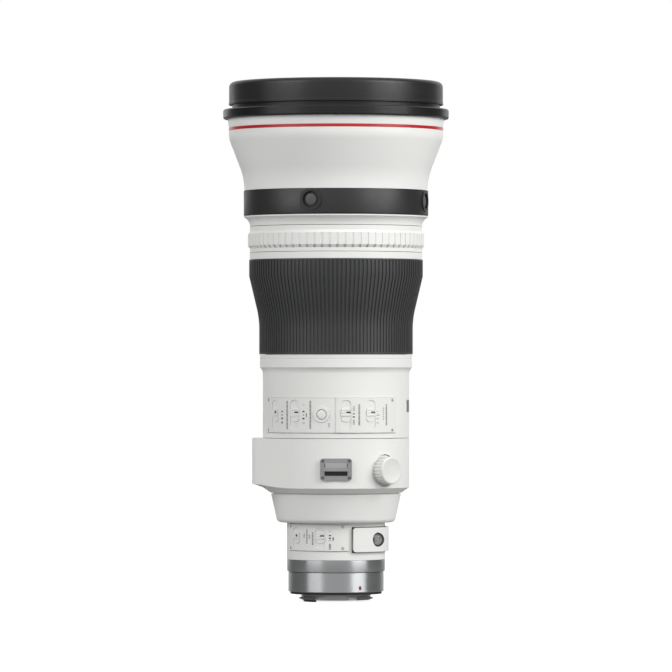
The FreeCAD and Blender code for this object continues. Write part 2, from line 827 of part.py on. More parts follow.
# Lower silver ring, which the bayonet is screwed into
def make_lower_mount_ring():
    blank = turned("lower_ring_turned", [
        ("mount_seat_bore", "flange_thick"),
        ("seal_inner", "flange_thick"),
        ("seal_inner", "mount_lip"),
        ("lower_ring_radius - ring_bevel", "mount_lip"),
        ("lower_ring_radius", "mount_lip + ring_bevel"),
        ("lower_ring_radius", "lower_ring_top"),
        ("lower_ring_radius - ring_groove_depth", "lower_ring_top"),
        ("lower_ring_radius - ring_groove_depth", "upper_ring_low"),
        ("mount_ring_bore", "upper_ring_low"),
        ("mount_ring_bore", "mount_lip + mount_seat_height"),
        ("mount_seat_bore", "mount_lip + mount_seat_height"),
    ])
    holes = []
    for i, azimuth in enumerate(screw_azimuths()):
        holes.append(axial_rod(f"lower_ring_hole_{i + 1}", "bayonet_screw_radius + seat_gap",
                               "flange_thick", "bayonet_screw_length + seat_gap",
                               azimuth, "screw_circle"))
    keep(cut("lower_ring_cut", blank, *holes), "lower_mount_ring")


# Upper silver ring
def make_upper_mount_ring():
    keep(turned("upper_ring_turned", [
        ("mount_ring_bore", "upper_ring_low"),
        ("upper_ring_radius - ring_bevel", "upper_ring_low"),
        ("upper_ring_radius", "upper_ring_low + 2 * ring_bevel"),
        ("upper_ring_radius", "upper_ring_top"),
        ("mount_ring_bore", "upper_ring_top"),
    ]), "upper_mount_ring")


# Rear barrel, with two webs that the filter drawer slides between
def make_rear_barrel():
    bore = "rear_barrel_bore"
    flange_bore = "rear_barrel_radius - rear_flange_width"
    blank = turned("rear_barrel_turned", [
        (flange_bore, "upper_ring_top"),
        ("rear_barrel_radius - ring_bevel", "upper_ring_top"),
        ("rear_barrel_radius - ring_bevel", "upper_ring_top + joint_line"),
        ("rear_barrel_radius", "upper_ring_top + joint_line"),
        ("rear_barrel_radius", "rear_barrel_top"),
        (flange_bore, "rear_barrel_top"),
        (flange_bore, "rear_barrel_top - rear_flange_thick"),
        (bore, "rear_barrel_top - rear_flange_thick"),
        (bore, "slot_high + filter_web_thick"),
        ("filter_web_bore", "slot_high + filter_web_thick"),
        ("filter_web_bore", "slot_high"),
        (bore, "slot_high"),
        (bore, "slot_low"),
        ("filter_web_bore", "slot_low"),
        ("filter_web_bore", "slot_low - filter_web_thick"),
        (bore, "slot_low - filter_web_thick"),
        (bore, "upper_ring_top + rear_flange_thick"),
        (flange_bore, "upper_ring_top + rear_flange_thick"),
    ])
    slot = radial_block("filter_slot", "2 * (drawer_half_width + drawer_gap)", "filter_slot_height",
                        "0", "rear_barrel_radius + cap_thick", "90", "slot_low")
    recess = sector("rear_panel_recess", "rear_panel_floor", "rear_barrel_radius + rear_panel_proud",
                    "rear_panel_low - seat_gap", "rear_panel_high + seat_gap",
                    "rear_panel_left_azimuth - panel_joint_angle",
                    "rear_panel_right_azimuth + panel_joint_angle")
    keep(cut("rear_barrel_cut", blank, slot, recess), "rear_barrel")


# Drop-in filter drawer: a frame for the round glass behind a curved cap
def make_filter_holder():
    rounded_end = axial_rod("drawer_end", "drawer_half_width", "drawer_low", "drawer_high")
    slab = common(
        "drawer_slab",
        radial_block("drawer_block", "2 * drawer_half_width", "drawer_high - drawer_low",
                     "0", "cap_outer", "90", "drawer_low"),
        axial_rod("drawer_limit", "cap_inner + cap_thick / 2", "drawer_low", "drawer_high"),
    )
    shell = sector("cap_shell", "cap_inner", "cap_outer", "cap_low", "cap_high",
                   "90 - cap_half_angle", "90 + cap_half_angle")
    cap = round_corners("cap_rounded", shell, "cap_corner", points_outward)
    blank = fuse("drawer_blank", rounded_end, slab, cap)
    opening = axial_rod("drawer_opening", "drawer_bore", "drawer_low", "drawer_high")
    glass_seat = axial_rod("glass_seat", "glass_radius + seat_gap",
                           "drawer_high - glass_sink", "drawer_high")
    wells = []
    for i, (azimuth, across) in enumerate(drawer_button_places()):
        wells.append(radial_rod(f"button_well_{i + 1}", "drawer_button_radius + drawer_well_room",
                                "well_floor", "cap_outer + cut_over", azimuth, "filter_height", across))
        wells.append(radial_rod(
            f"button_guide_{i + 1}", "drawer_stem_radius + running_gap",
            "well_floor - drawer_stem_length", "well_floor + cut_over",
            azimuth, "filter_height", across))
    keep(cut("drawer_cut", blank, opening, glass_seat, *wells), "filter_holder")
    glass = axial_rod("filter_disc", "glass_radius", "drawer_high - glass_sink",
                      "drawer_high - glass_sink + glass_thick")
    keep(glass, "filter_glass")


def drawer_button_places():
    """Azimuth and sideways offset of the drawer's two release buttons, mirrored about +X."""
    return [
        ("drawer_button_azimuth", "drawer_button_offset"),
        ("180 - drawer_button_azimuth", "-drawer_button_offset"),
    ]


# The two buttons that are pinched to pull the drawer out
def make_filter_buttons():
    for i, (azimuth, across) in enumerate(drawer_button_places()):
        foot = "drawer_button_face - drawer_button_length"
        head = radial_rod(f"filter_button_head_{i + 1}", "drawer_button_radius", foot,
                          "drawer_button_face", azimuth, "filter_height", across)
        stem = radial_rod(f"filter_button_stem_{i + 1}", "drawer_stem_radius",
                          f"{foot} - drawer_stem_length + drawer_button_travel", foot,
                          azimuth, "filter_height", across)
        keep(fuse(f"filter_button_joined_{i + 1}", head, stem), f"filter_button_{i + 1}")


# Rear cone, a cast shell between the collar and the rear barrel
def make_rear_cone():
    keep(turned("cone_turned", [
        ("cone_opening", "rear_barrel_top"),
        ("cone_foot_radius - cone_corner", "rear_barrel_top"),
        ("cone_foot_radius", "rear_barrel_top + cone_corner", "cone_corner", 1),
        ("cone_top_radius", "cone_top"),
        ("cone_inner_top", "cone_top"),
        ("cone_inner_top", "cone_top - cone_ledge_height"),
        ("cone_top_radius - cone_wall - cone_wall_lean",
         "cone_top - cone_ledge_height - cone_ledge_bevel"),
        ("cone_foot_radius - cone_wall", "rear_barrel_top + 2 * cone_corner"),
        ("cone_foot_radius - cone_wall - cone_floor_bevel", "rear_barrel_top + cone_wall"),
        ("cone_opening", "rear_barrel_top + cone_wall"),
    ]), "rear_cone")


# Ring-shaped circuit board on the cone's floor
def make_main_board():
    keep(ring("board_turned", "cone_opening + board_step", "board_outer",
              "rear_barrel_top + cone_wall", "rear_barrel_top + cone_wall + board_thick"),
         "main_board")


# Rear lens cell, hung from its flange on the cone's ledge, with two elements
def make_rear_cell():
    keep(turned("rear_cell_turned", [
        ("rear_cell_bore", "rear_cell_low"),
        ("rear_cell_radius", "rear_cell_low"),
        ("rear_cell_radius", "cone_top"),
        ("bearing_bore - seat_gap", "cone_top"),
        ("bearing_bore - seat_gap", "cone_top + rear_cell_flange"),
        ("rear_cell_bore", "cone_top + rear_cell_flange"),
    ]), "rear_cell")
    radius = "rear_cell_bore - seat_gap"
    lower_low = "rear_cell_low + rear_glass_step"
    lower = lens_blank("rear_element_lower", radius, lower_low, f"{lower_low} + rear_glass_edge",
                       "rear_lower_back_bulge", "rear_lower_front_bulge")
    upper = lens_blank("rear_element_upper", radius, "cone_top - rear_glass_edge",
                       "cone_top", "-rear_upper_hollow", "rear_upper_bulge")
    keep(group("rear_element_pair", [lower, upper]), "rear_elements")


# Turning tripod collar with its foot seat, strap bar recesses and the spot face for its knob
def make_tripod_collar():
    body = doc.addObject("PartDesign::Body", "collar_body")
    outline = new_sketch(body, "collar_outline", "XZ_Plane", [
        ("collar_bore", "collar_low"),
        ("collar_radius", "collar_low"),
        ("collar_radius", "collar_top"),
        ("collar_bore", "collar_top"),
    ])
    barrel = body.newObject("PartDesign::Revolution", "collar_turn")
    barrel.Profile = outline
    barrel.ReferenceAxis = (outline, ["V_Axis"])
    barrel.Angle = 360
    corner = "sqrt(foot_seat_distance ^ 2 + foot_seat_half_width ^ 2)"
    touch = f"collar_radius / {corner}"
    reach = f"sqrt(1 - ({touch}) ^ 2)"
    lean_x = f"foot_seat_distance / {corner}"
    lean_y = f"foot_seat_half_width / {corner}"
    touch_x = f"-collar_radius * (({lean_x}) * ({touch}) - ({lean_y}) * ({reach}))"
    touch_y = f"collar_radius * (({lean_y}) * ({touch}) + ({lean_x}) * ({reach}))"
    seat_sketch = new_sketch(body, "foot_seat_outline", "XY_Plane", [
        ("-foot_seat_distance", "foot_seat_half_width"),
        ("-foot_seat_distance", "-foot_seat_half_width"),
        (touch_x, f"-({touch_y})"),
        (touch_x, touch_y),
    ], lift="collar_low")
    seat = body.newObject("PartDesign::Pad", "foot_seat")
    seat.Profile = seat_sketch
    bind(seat, "Length", "collar_height")
    bevel_sketch = new_sketch(body, "collar_bevel_outline", "XZ_Plane", [
        ("collar_radius - collar_bevel_width", "collar_low"),
        ("foot_seat_distance + foot_seat_half_width", "collar_low"),
        ("foot_seat_distance + foot_seat_half_width",
         "collar_low + collar_bevel_height + foot_seat_bevel_height"),
        ("foot_seat_distance", "collar_low + collar_bevel_height + foot_seat_bevel_height"),
        ("collar_radius", "collar_low + collar_bevel_height"),
    ])
    bevel = body.newObject("PartDesign::Groove", "collar_bevel")
    bevel.Profile = bevel_sketch
    bevel.ReferenceAxis = (bevel_sketch, ["V_Axis"])
    bevel.Angle = 360
    casting = round_corners("collar_casting", body, "foot_seat_corner", at_foot_seat)
    bore = axial_rod("collar_bore_cut", "collar_bore", "collar_low", "collar_top")
    relief = axial_rod("collar_relief", "collar_radius - collar_wall",
                       "collar_low + collar_land", "collar_top - collar_land")
    boss = cut("knob_boss",
               radial_rod("knob_boss_rod", "knob_boss_radius", "0", "knob_spot_distance",
                          "knob_azimuth", "knob_height"),
               axial_rod("knob_boss_trim", "collar_bore", "collar_low", "collar_top"))
    spot = radial_rod("knob_spot", "knob_foot_radius + turn_gap", "knob_spot_distance",
                      "foot_seat_distance", "knob_azimuth", "knob_height")
    screw_hole = radial_rod("knob_screw_hole", "knob_screw_radius + running_gap", "0",
                            "foot_seat_distance", "knob_azimuth", "knob_height")
    tools = [spot, screw_hole]
    for i, side in enumerate(("-1", "1")):
        for j, level in enumerate(("-1", "1")):
            tools.append(radial_rod(
                f"foot_hole_{i}{j}", "foot_hole_radius", "foot_seat_distance - foot_hole_depth",
                "foot_seat_distance", "-90", f"foot_hole_height + {level} * foot_hole_half_height",
                f"{side} * foot_hole_half_width"))
    for i, azimuth in enumerate(("0", "180")):
        recess = radial_block(f"lug_recess_{i}", "lug_plate_width + 2 * seat_gap",
                              "lug_plate_height + 2 * seat_gap", "lug_floor",
                              "collar_radius + lug_plate_thick", azimuth,
                              "lug_height - lug_plate_height / 2 - seat_gap")
        tools.append(recess)
        for number, (across, up) in enumerate(lug_screw_places()):
            tools.append(radial_rod(f"lug_tap_{i}{number}", "lug_screw_radius + seat_gap",
                                    "lug_floor - lug_screw_bite", "lug_floor", azimuth, up, across))
    hollow = cut("collar_hollow", casting, bore, relief)
    keep(cut("collar_cut", fuse("collar_with_boss", hollow, boss), *tools), "tripod_collar")


def at_foot_seat(edge):
    """True for the two upright corner edges of the foot seat."""
    run = edge.tangentAt(edge.FirstParameter)
    return abs(run.z) > 0.99 and edge.CenterOfMass.x < 0.01 - value("foot_seat_distance")


def lug_screw_places():
    """Sideways offset and height of a strap bar's four corner screws."""
    across = "lug_plate_width / 2 - lug_screw_inset"
    up = "lug_plate_height / 2 - lug_screw_inset"
    return [(f"{side} * ({across})", f"lug_height + {level} * ({up})")
            for side in ("-1", "1") for level in ("-1", "1")]


# Two strap bars, opposite each other: a plate with a window and a round bar across it
def make_strap_lugs():
    lugs, screws = [], []
    for i, azimuth in enumerate(("0", "180")):
        block = radial_block(f"lug_block_{i}", "lug_plate_width", "lug_plate_height", "lug_floor",
                             "lug_plate_face", azimuth, "lug_height - lug_plate_height / 2")
        plate = round_corners(f"lug_plate_{i}", block, "lug_plate_corner", points_forward)
        window = radial_block(f"lug_window_{i}", "lug_window_width", "lug_window_height",
                              "lug_floor", "lug_plate_face", azimuth,
                              "lug_height - lug_window_height / 2")
        holes = [radial_rod(f"lug_hole_{i}{number}", "lug_screw_radius + seat_gap", "lug_floor",
                            "lug_plate_face", azimuth, up, across)
                 for number, (across, up) in enumerate(lug_screw_places())]
        frame = cut(f"lug_frame_{i}", plate, window, *holes)
        bar_block = radial_block(f"lug_bar_block_{i}", "lug_window_width + 2 * lug_post_width",
                                 "2 * lug_bar_radius", "lug_plate_face - lug_bar_radius",
                                 "lug_plate_face + lug_bar_radius + lug_bar_proud",
                                 azimuth, "lug_height - lug_bar_radius")
        bar = round_corners(f"lug_bar_{i}", bar_block, "lug_bar_corner", runs_across)
        lugs.append(fuse(f"lug_{i}", frame, bar))
        for number, (across, up) in enumerate(lug_screw_places()):
            screws.append(radial_rod(f"lug_screw_{i}{number}", "lug_screw_radius",
                                     "lug_floor - lug_screw_bite + seat_gap",
                                     "lug_plate_face - running_gap", azimuth, up, across))
    keep(group("lug_pair", lugs), "strap_lugs")
    keep(group("lug_screw_set", screws), "lug_screws")


def runs_across(edge):
    """True for an edge that runs along X and lies well out from the axis."""
    run = edge.tangentAt(edge.FirstParameter)
    return abs(run.x) > 0.99 and abs(edge.CenterOfMass.y) > value("lug_plate_face")


# Fluted clamp knob, moulded on its screw
def make_lock_knob():
    body = doc.addObject("PartDesign::Body", "knob_body")
    seat = "knob_spot_distance + turn_gap"
    foot_top = "knob_spot_distance + turn_gap + knob_foot_thick"
    outline = new_sketch(body, "knob_outline", "XZ_Plane", [
        ("0", "bearing_radius + turn_gap"),
        ("knob_screw_radius", "bearing_radius + turn_gap"),
        ("knob_screw_radius", seat),
        ("knob_foot_radius", seat),
        ("knob_foot_radius", foot_top),
        ("knob_radius", foot_top),
        ("knob_radius", "knob_tip - knob_bevel"),
        ("knob_radius - knob_bevel", "knob_tip"),
        ("0", "knob_tip"),
    ])
    turn = body.newObject("PartDesign::Revolution", "knob_turn")
    turn.Profile = outline
    turn.ReferenceAxis = (outline, ["V_Axis"])
    turn.Angle = 360
    doc.recompute()
    flute_sketch = new_sketch(body, "knob_flute_outline", "XY_Plane", None, lift=foot_top)
    circle = Part.Circle(FreeCAD.Vector(value("knob_radius"), 0, 0), FreeCAD.Vector(0, 0, 1),
                         value("knob_flute_radius"))
    edge = flute_sketch.addGeometry(circle)
    flute_sketch.addConstraint(Sketcher.Constraint("PointOnObject", edge, 3, -1))
    reach = flute_sketch.addConstraint(
        Sketcher.Constraint("DistanceX", -1, 1, edge, 3, value("knob_radius")))
    bind(flute_sketch, f"Constraints[{reach}]", "knob_radius + knob_flute_radius / 3")
    size = flute_sketch.addConstraint(
        Sketcher.Constraint("Radius", edge, value("knob_flute_radius")))
    bind(flute_sketch, f"Constraints[{size}]", "knob_flute_radius")
    flute = body.newObject("PartDesign::Pocket", "knob_flute")
    flute.Profile = flute_sketch
    bind(flute, "Length", f"knob_tip - ({foot_top})")
    flute.Reversed = True
    around(body, "knob_flutes", flute, flute_sketch, "knob_flute_count")
    outward(body, "knob_azimuth", "0", "knob_height")
    keep(body, "lock_knob")


def around(body, name, feature, sketch, count, axis="N_Axis"):
    """Repeats a cut evenly about one axis of its sketch."""
    pattern = body.newObject("PartDesign::PolarPattern", name)
    pattern.Originals = [feature]
    pattern.Axis = (sketch, [axis])
    pattern.Angle = 360
    bind(pattern, "Occurrences", count)
    body.Tip = pattern
    return pattern


# Main barrel: collar bearing, panel zone with its recesses, and the shoulder that holds the tube
def make_main_barrel():
    line = "shoulder_high + shoulder_height - shoulder_line_height"
    blank = turned("main_barrel_turned", [
        ("bearing_bore", "cone_top"),
        ("bearing_radius", "cone_top"),
        ("bearing_radius", "body_low"),
        ("body_radius", "body_low"),
        ("body_radius", "shoulder_low"),
        ("shoulder_radius", "shoulder_high"),
        ("shoulder_radius", line),
        ("shoulder_radius - joint_line", f"{line} + joint_line"),
        ("shoulder_radius", f"{line} + 2 * joint_line"),
        ("shoulder_radius", "body_top"),
        ("tube_foot_radius + seat_gap", "body_top"),
        ("tube_foot_radius + seat_gap", "tube_low"),
        ("body_bore", "tube_low"),
        ("body_bore", "body_floor_top"),
        ("bearing_bore", "body_floor_top"),
    ])
    outside = "body_radius + right_panel_proud"
    recess = sector("panel_recess", "panel_floor", outside, "panel_low - seat_gap",
                    "panel_high + seat_gap", "panel_left_azimuth - panel_joint_angle",
                    "panel_right_azimuth + panel_joint_angle")
    lock_recess = radial_block("lock_recess", "lock_plate_width + 2 * seat_gap",
                               "lock_plate_height + 2 * seat_gap",
                               "body_radius - lock_plate_thick", outside, "lock_slot_azimuth",
                               "body_low + lock_slot_step - lock_plate_height / 2 - seat_gap")
    keep(cut("main_barrel_cut", blank, recess, lock_recess), "main_barrel")


# Security slot plate
def make_lock_slot():
    middle = "body_low + lock_slot_step"
    plate = radial_block("lock_plate", "lock_plate_width", "lock_plate_height",
                         "body_radius - lock_plate_thick + seat_gap", "body_radius",
                         "lock_slot_azimuth", f"{middle} - lock_plate_height / 2")
    slot = radial_block("lock_opening", "lock_slot_width", "lock_slot_height",
                        "body_radius - lock_plate_thick + lock_slot_floor", "body_radius + cut_over",
                        "lock_slot_azimuth", f"{middle} - lock_slot_height / 2")
    keep(cut("lock_plate_cut", plate, slot), "lock_slot")


LEFT_SWITCHES = ("distance_switch", "mode_switch")
RIGHT_SWITCHES = ("stabiliser_switch", "stabiliser_mode_switch")
REAR_SWITCHES = ("focus_mode_switch", "ring_switch")
PANEL_SCREWS = {
    "left_panel": ["left_screw_azimuth"],
    "right_panel": ["right_screw_azimuth"],
    "rear_panel": ["rear_left_screw_azimuth", "rear_right_screw_azimuth"],
}


def screw_spots(panel, low, high):
    """Azimuth and height of a panel's screws, near its top and bottom edges."""
    return [(azimuth, level) for azimuth in PANEL_SCREWS[panel]
            for level in (f"{low} + panel_screw_inset", f"{high} - panel_screw_inset")]


def panel_plate(name, floor, outside, low, high, start, end, windows, window_size, others=()):
    """A curved switch panel with rounded corners, its slider windows and its screw holes."""
    shell = sector(name + "_shell", f"{floor} + seat_gap", outside, low, high, start, end)
    plate = round_corners(name + "_rounded", shell, "panel_corner", points_outward)
    width, tall, window_floor = window_size
    tools = [radial_block(f"{switch}_window", width, tall, f"{floor} - cut_over",
                          f"{outside} + cut_over", f"{switch}_azimuth", window_floor)
             for switch in windows]
    for i, (azimuth, level) in enumerate(screw_spots(name, low, high)):
        tools.append(radial_rod(f"{name}_screw_hole_{i + 1}", "panel_screw_radius + seat_gap",
                                f"{outside} - panel_screw_length", f"{outside} + cut_over",
                                azimuth, level))
    if others:
        boss, hole = others
        plate = fuse(name + "_with_boss", plate, boss)
        tools.append(hole)
    return cut(name + "_cut", plate, *tools)


# The three switch panels
def make_panels():
    main_window = ("window_width", "window_height", "window_low")
    left_out = "body_radius + left_panel_proud"
    right_out = "body_radius + right_panel_proud"
    boss = radial_rod("set_boss", "set_boss_radius", "panel_floor + panel_sink / 2",
                      f"{left_out} + set_boss_proud", "set_button_azimuth", "set_button_height")
    hole = radial_rod("set_hole", "set_hole_radius", "panel_floor - cut_over",
                      f"{left_out} + set_boss_proud + cut_over", "set_button_azimuth",
                      "set_button_height")
    keep(panel_plate("left_panel", "panel_floor", left_out, "panel_low", "panel_high",
                     "panel_left_azimuth", "0", LEFT_SWITCHES, main_window, (boss, hole)),
         "left_panel")
    keep(panel_plate("right_panel", "panel_floor", right_out, "panel_low", "panel_high",
                     "panel_joint_angle", "panel_right_azimuth", RIGHT_SWITCHES, main_window),
         "right_panel")
    keep(panel_plate("rear_panel", "rear_panel_floor", "rear_barrel_radius + rear_panel_proud",
                     "rear_panel_low", "rear_panel_high",
                     "rear_panel_left_azimuth", "rear_panel_right_azimuth", REAR_SWITCHES,
                     ("rear_window_width", "rear_window_height", "rear_window_low")),
         "rear_panel")
    screws = []
    for name, outside, low, high in (
        ("left_panel", left_out, "panel_low", "panel_high"),
        ("right_panel", right_out, "panel_low", "panel_high"),
        ("rear_panel", "rear_barrel_radius + rear_panel_proud", "rear_panel_low",
         "rear_panel_high"),
    ):
        for i, (azimuth, level) in enumerate(screw_spots(name, low, high)):
            screws.append(radial_rod(f"{name}_screw_{i + 1}", "panel_screw_radius",
                                     f"{outside} - panel_screw_length + seat_gap",
                                     f"{outside} - seat_gap", azimuth, level))
    keep(group("panel_screw_set", screws), "panel_screws")


def slider(name, width, tall, low, floor, outside):
    """A slide switch's button: a block with finger grooves across its face."""
    azimuth = f"{name}_azimuth"
    face = f"{outside} + slider_proud"
    block = radial_block(name + "_block", f"{width} - 2 * slider_gap", tall,
                         f"{floor} + running_gap + seat_gap", face, azimuth, low)
    grooves = [radial_block(f"{name}_groove_{i}", width, "slider_groove_width",
                            f"{face} - slider_groove_depth", f"{face} + cut_over", azimuth,
                            f"{low} + ({tall}) * {i} / 5 - slider_groove_width / 2")
               for i in range(1, 5)]
    keep(cut(name + "_cut", block, *grooves), name)


# Six slide switches and the round set button
def make_switches():
    for switches, proud in ((LEFT_SWITCHES, "left_panel_proud"), (RIGHT_SWITCHES, "right_panel_proud")):
        for name in switches:
            slider(name, "window_width", "slider_height", "slider_low",
                   "panel_floor", f"body_radius + {proud}")
    for name in REAR_SWITCHES:
        slider(name, "rear_window_width", "rear_slider_height", "rear_slider_low",
               "rear_panel_floor", "rear_barrel_radius + rear_panel_proud")
    face = "body_radius + left_panel_proud + set_boss_proud + running_gap"
    keep(radial_rod("set_button_rod", "set_button_radius",
                    "panel_floor + set_button_travel + running_gap", face,
                    "set_button_azimuth", "set_button_height"), "set_button")


# Focus ring: a metal sleeve with a white lip in front of its grooved rubber grip
def grip_outline(inset, end_land="0"):
    """Radius and height of the grip's outside from foot to top, moved in and short of its ends."""
    foot, top = f"grip_foot_radius - ({inset})", f"grip_top_radius - ({inset})"
    return [
        (foot, f"grip_low + {end_land}"),
        (foot, "grip_low + grip_foot_length"),
        (f"{foot} + grip_bend_rise", "grip_low + grip_foot_length + grip_bend_length",
         "(grip_bend_length ^ 2 + grip_bend_rise ^ 2) / (2 * grip_bend_rise)", -1),
        (top, "grip_top - grip_top_length"),
        (top, f"grip_top - {end_land}"),
    ]


def make_focus_ring():
    bend = "grip_low + grip_foot_length + grip_bend_length"
    keep(turned("focus_sleeve", [
        ("sleeve_foot_bore", "grip_low"),
        *grip_outline("grip_thick"),
        ("lip_radius", "grip_top"),
        ("lip_radius", "focus_ring_top"),
        ("sleeve_top_bore", "focus_ring_top"),
        ("sleeve_top_bore", "grip_top - grip_top_length"),
        ("sleeve_foot_bore + grip_bend_rise", bend),
        ("sleeve_foot_bore", "grip_low + grip_foot_length"),
    ]), "focus_ring")


def make_focus_grip():
    bend = "grip_low + grip_foot_length + grip_bend_length"
    body = turned("grip_turned", [
        *grip_outline("0"),
        ("grip_top_radius - grip_thick", "grip_top"),
        ("grip_top_radius - grip_thick", "grip_top - grip_top_length"),
        ("grip_foot_radius - grip_thick + grip_bend_rise", bend),
        ("grip_foot_radius - grip_thick", "grip_low + grip_foot_length",
         "(grip_bend_length ^ 2 + grip_bend_rise ^ 2) / (2 * grip_bend_rise)", 1),
        ("grip_foot_radius - grip_thick", "grip_low"),
    ])
    groove_sketch = new_sketch(body, "grip_groove_outline", "XZ_Plane", [
        *grip_outline("grip_groove_depth", "grip_end_land"),
        ("grip_top_radius + cut_over", "grip_top - grip_end_land"),
        ("grip_top_radius + cut_over", "grip_top - grip_top_length"),
        ("grip_foot_radius + grip_bend_rise + cut_over", bend),
        ("grip_foot_radius + cut_over", "grip_low + grip_foot_length"),
        ("grip_foot_radius + cut_over", "grip_low + grip_end_land"),
    ])
    groove = body.newObject("PartDesign::Groove", "grip_groove")
    groove.Profile = groove_sketch
    groove.ReferenceAxis = (groove_sketch, ["V_Axis"])
    bind(groove, "Angle", "grip_groove_angle")
    around(body, "grip_grooves", groove, groove_sketch, "grip_groove_count", "V_Axis")
    keep(body, "focus_grip")


# Ribbed control ring
def make_preset_ring():
    body = turned("preset_body", [
        ("sleeve_top_bore", "preset_low"),
        ("preset_radius", "preset_low"),
        ("preset_radius", "preset_low + rib_low_step"),
        ("preset_radius + rib_proud", "preset_low + rib_low_step + rib_length / 6"),
        ("preset_radius + rib_proud", "preset_low + rib_low_step + rib_length * 5 / 6"),
        ("preset_radius", "preset_low + rib_low_step + rib_length"),
        ("preset_radius", "preset_top"),
        ("sleeve_top_bore", "preset_top"),
    ])
    inner, outer = "preset_radius", "preset_radius + rib_proud + cut_over"
    slot_sketch = new_sketch(body, "rib_slot_outline", "XY_Plane", [
        (inner, "-rib_slot_width / 2"),
        (outer, "-rib_slot_width / 2"),
        (outer, "rib_slot_width / 2"),
        (inner, "rib_slot_width / 2"),
    ], lift="preset_low + rib_low_step")
    slot = body.newObject("PartDesign::Pocket", "rib_slot")
    slot.Profile = slot_sketch
    bind(slot, "Length", "rib_length")
    slot.Reversed = True
    around(body, "rib_slots", slot, slot_sketch, "rib_count")
    keep(body, "preset_ring")


# Tube that carries the two rings, from the main barrel to the front barrel
def make_inner_tube():
    step_low = "grip_low + grip_foot_length + grip_bend_length"
    step_high = "grip_top - grip_top_length"
    land = "sleeve_foot_bore - running_gap"
    keep(turned("inner_tube_turned", [
        ("tube_foot_radius - tube_wall", "tube_low"),
        ("tube_foot_radius", "tube_low"),
        ("tube_foot_radius", "grip_low + turn_gap"),
        (land, "grip_low + turn_gap"),
        (land, "grip_low + turn_gap + tube_land_length"),
        ("tube_foot_radius", "grip_low + turn_gap + tube_land_length"),
        ("tube_foot_radius", step_low),
        ("tube_top_radius", f"{step_high} + turn_gap"),
        ("tube_top_radius", "tube_top"),
        ("tube_top_radius - tube_wall", "tube_top"),
        ("tube_top_radius - tube_wall", f"{step_high} + turn_gap"),
        ("tube_foot_radius - tube_wall", step_low),
    ]), "inner_tube")


# Middle group: a cell in the tube's wide end, with two elements
def make_middle_group():
    low, high = "tube_top - middle_cell_drop", "tube_top - middle_cell_drop + middle_cell_height"
    outer = "tube_top_radius - tube_wall - seat_gap"
    bore = f"{outer} - middle_cell_wall"
    keep(ring("middle_cell_turned", bore, outer, low, high), "middle_cell")
    lower_low = f"{low} + middle_lower_step"
    lower = lens_blank("middle_element_lower", f"{bore} - seat_gap", lower_low,
                       f"{lower_low} + middle_lower_edge",
                       "-middle_lower_hollow", "-middle_lower_front_hollow")
    upper_high = f"{high} - middle_upper_step"
    upper = lens_blank("middle_element_upper", f"{bore} - seat_gap",
                       f"{upper_high} - middle_upper_edge", upper_high,
                       "middle_upper_back_bulge", "middle_upper_front_bulge")
    keep(group("middle_element_pair", [lower, upper]), "middle_elements")


# Front barrel: the neck, the recess for the button band, the flare and the seat for the front glass
def make_front_barrel():
    foot = "flare_foot_radius"
    sweep_out = f"{foot} + flare_sweep * (1 - cos(flare_angle))"
    sweep_up = "band_top + flare_sweep * sin(flare_angle)"
    round_low = "hood_flange_low - flare_top_length - flare_shoulder_sweep * sin(flare_angle)"
    round_in = "flare_top_radius - flare_shoulder_sweep * (1 - cos(flare_angle))"
    neck_step = "band_radius - neck_radius - neck_ledge"
    inside = "band_floor - barrel_wall"
    trim_low = "hood_flange_low - trim_step - trim_height"
    keep(turned("front_barrel_turned", [
        ("tube_top_radius + seat_gap", "neck_low"),
        ("neck_radius", "neck_low"),
        (f"neck_radius + {neck_step}", "neck_low + neck_sweep_height",
         f"(neck_sweep_height ^ 2 + ({neck_step}) ^ 2) / (2 * ({neck_step}))", -1),
        ("band_radius - band_seat_lip", "neck_low + neck_sweep_height"),
        ("band_radius - band_seat_lip", "band_low"),
        ("band_floor", "band_low"),
        ("band_floor", "band_top"),
        (foot, "band_top"),
        (sweep_out, sweep_up, "flare_sweep", -1),
        (round_in, round_low),
        ("flare_top_radius", "hood_flange_low - flare_top_length", "flare_shoulder_sweep", 1),
        ("flare_top_radius", trim_low),
        ("flare_top_radius - trim_depth", trim_low),
        ("flare_top_radius - trim_depth", f"{trim_low} + trim_height"),
        ("flare_top_radius", f"{trim_low} + trim_height"),
        ("flare_top_radius + barrel_lip", "hood_flange_low - barrel_lip_length"),
        ("flare_top_radius + barrel_lip", "hood_flange_low"),
        ("front_neck_radius", "hood_flange_low"),
        ("front_neck_radius", "hood_flange_top"),
        ("front_neck_radius - front_neck_wall", "hood_flange_top"),
        ("front_neck_radius - front_neck_wall", "front_glass_top"),
        ("front_glass_radius + seat_gap", "front_glass_top"),
        ("front_glass_radius + seat_gap", "front_seat"),
        ("front_glass_radius - front_glass_ledge", "front_seat"),
        ("front_glass_radius - front_glass_ledge", "front_seat - front_seat_thick"),
        (f"{round_in} - barrel_wall - flare_inner_step", f"{round_low} - flare_inner_drop"),
        (f"{sweep_out} - barrel_wall - sweep_inner_step", sweep_up),
        (inside, "band_top + sweep_inner_foot"),
        (inside, "tube_top + barrel_wall"),
        ("tube_top_radius - tube_wall", "tube_top + barrel_wall"),
        ("tube_top_radius - tube_wall", "tube_top"),
        ("tube_top_radius + seat_gap", "tube_top"),
    ]), "front_barrel")
    keep(ring("trim_turned", "flare_top_radius - trim_depth + seat_gap",
              "flare_top_radius + trim_proud", trim_low, f"{trim_low} + trim_height"), "trim_ring")


def band_azimuths():
    count = int(value("band_button_count"))
    return [f"band_button_azimuth + {i} * 360 / band_button_count" for i in range(count)]


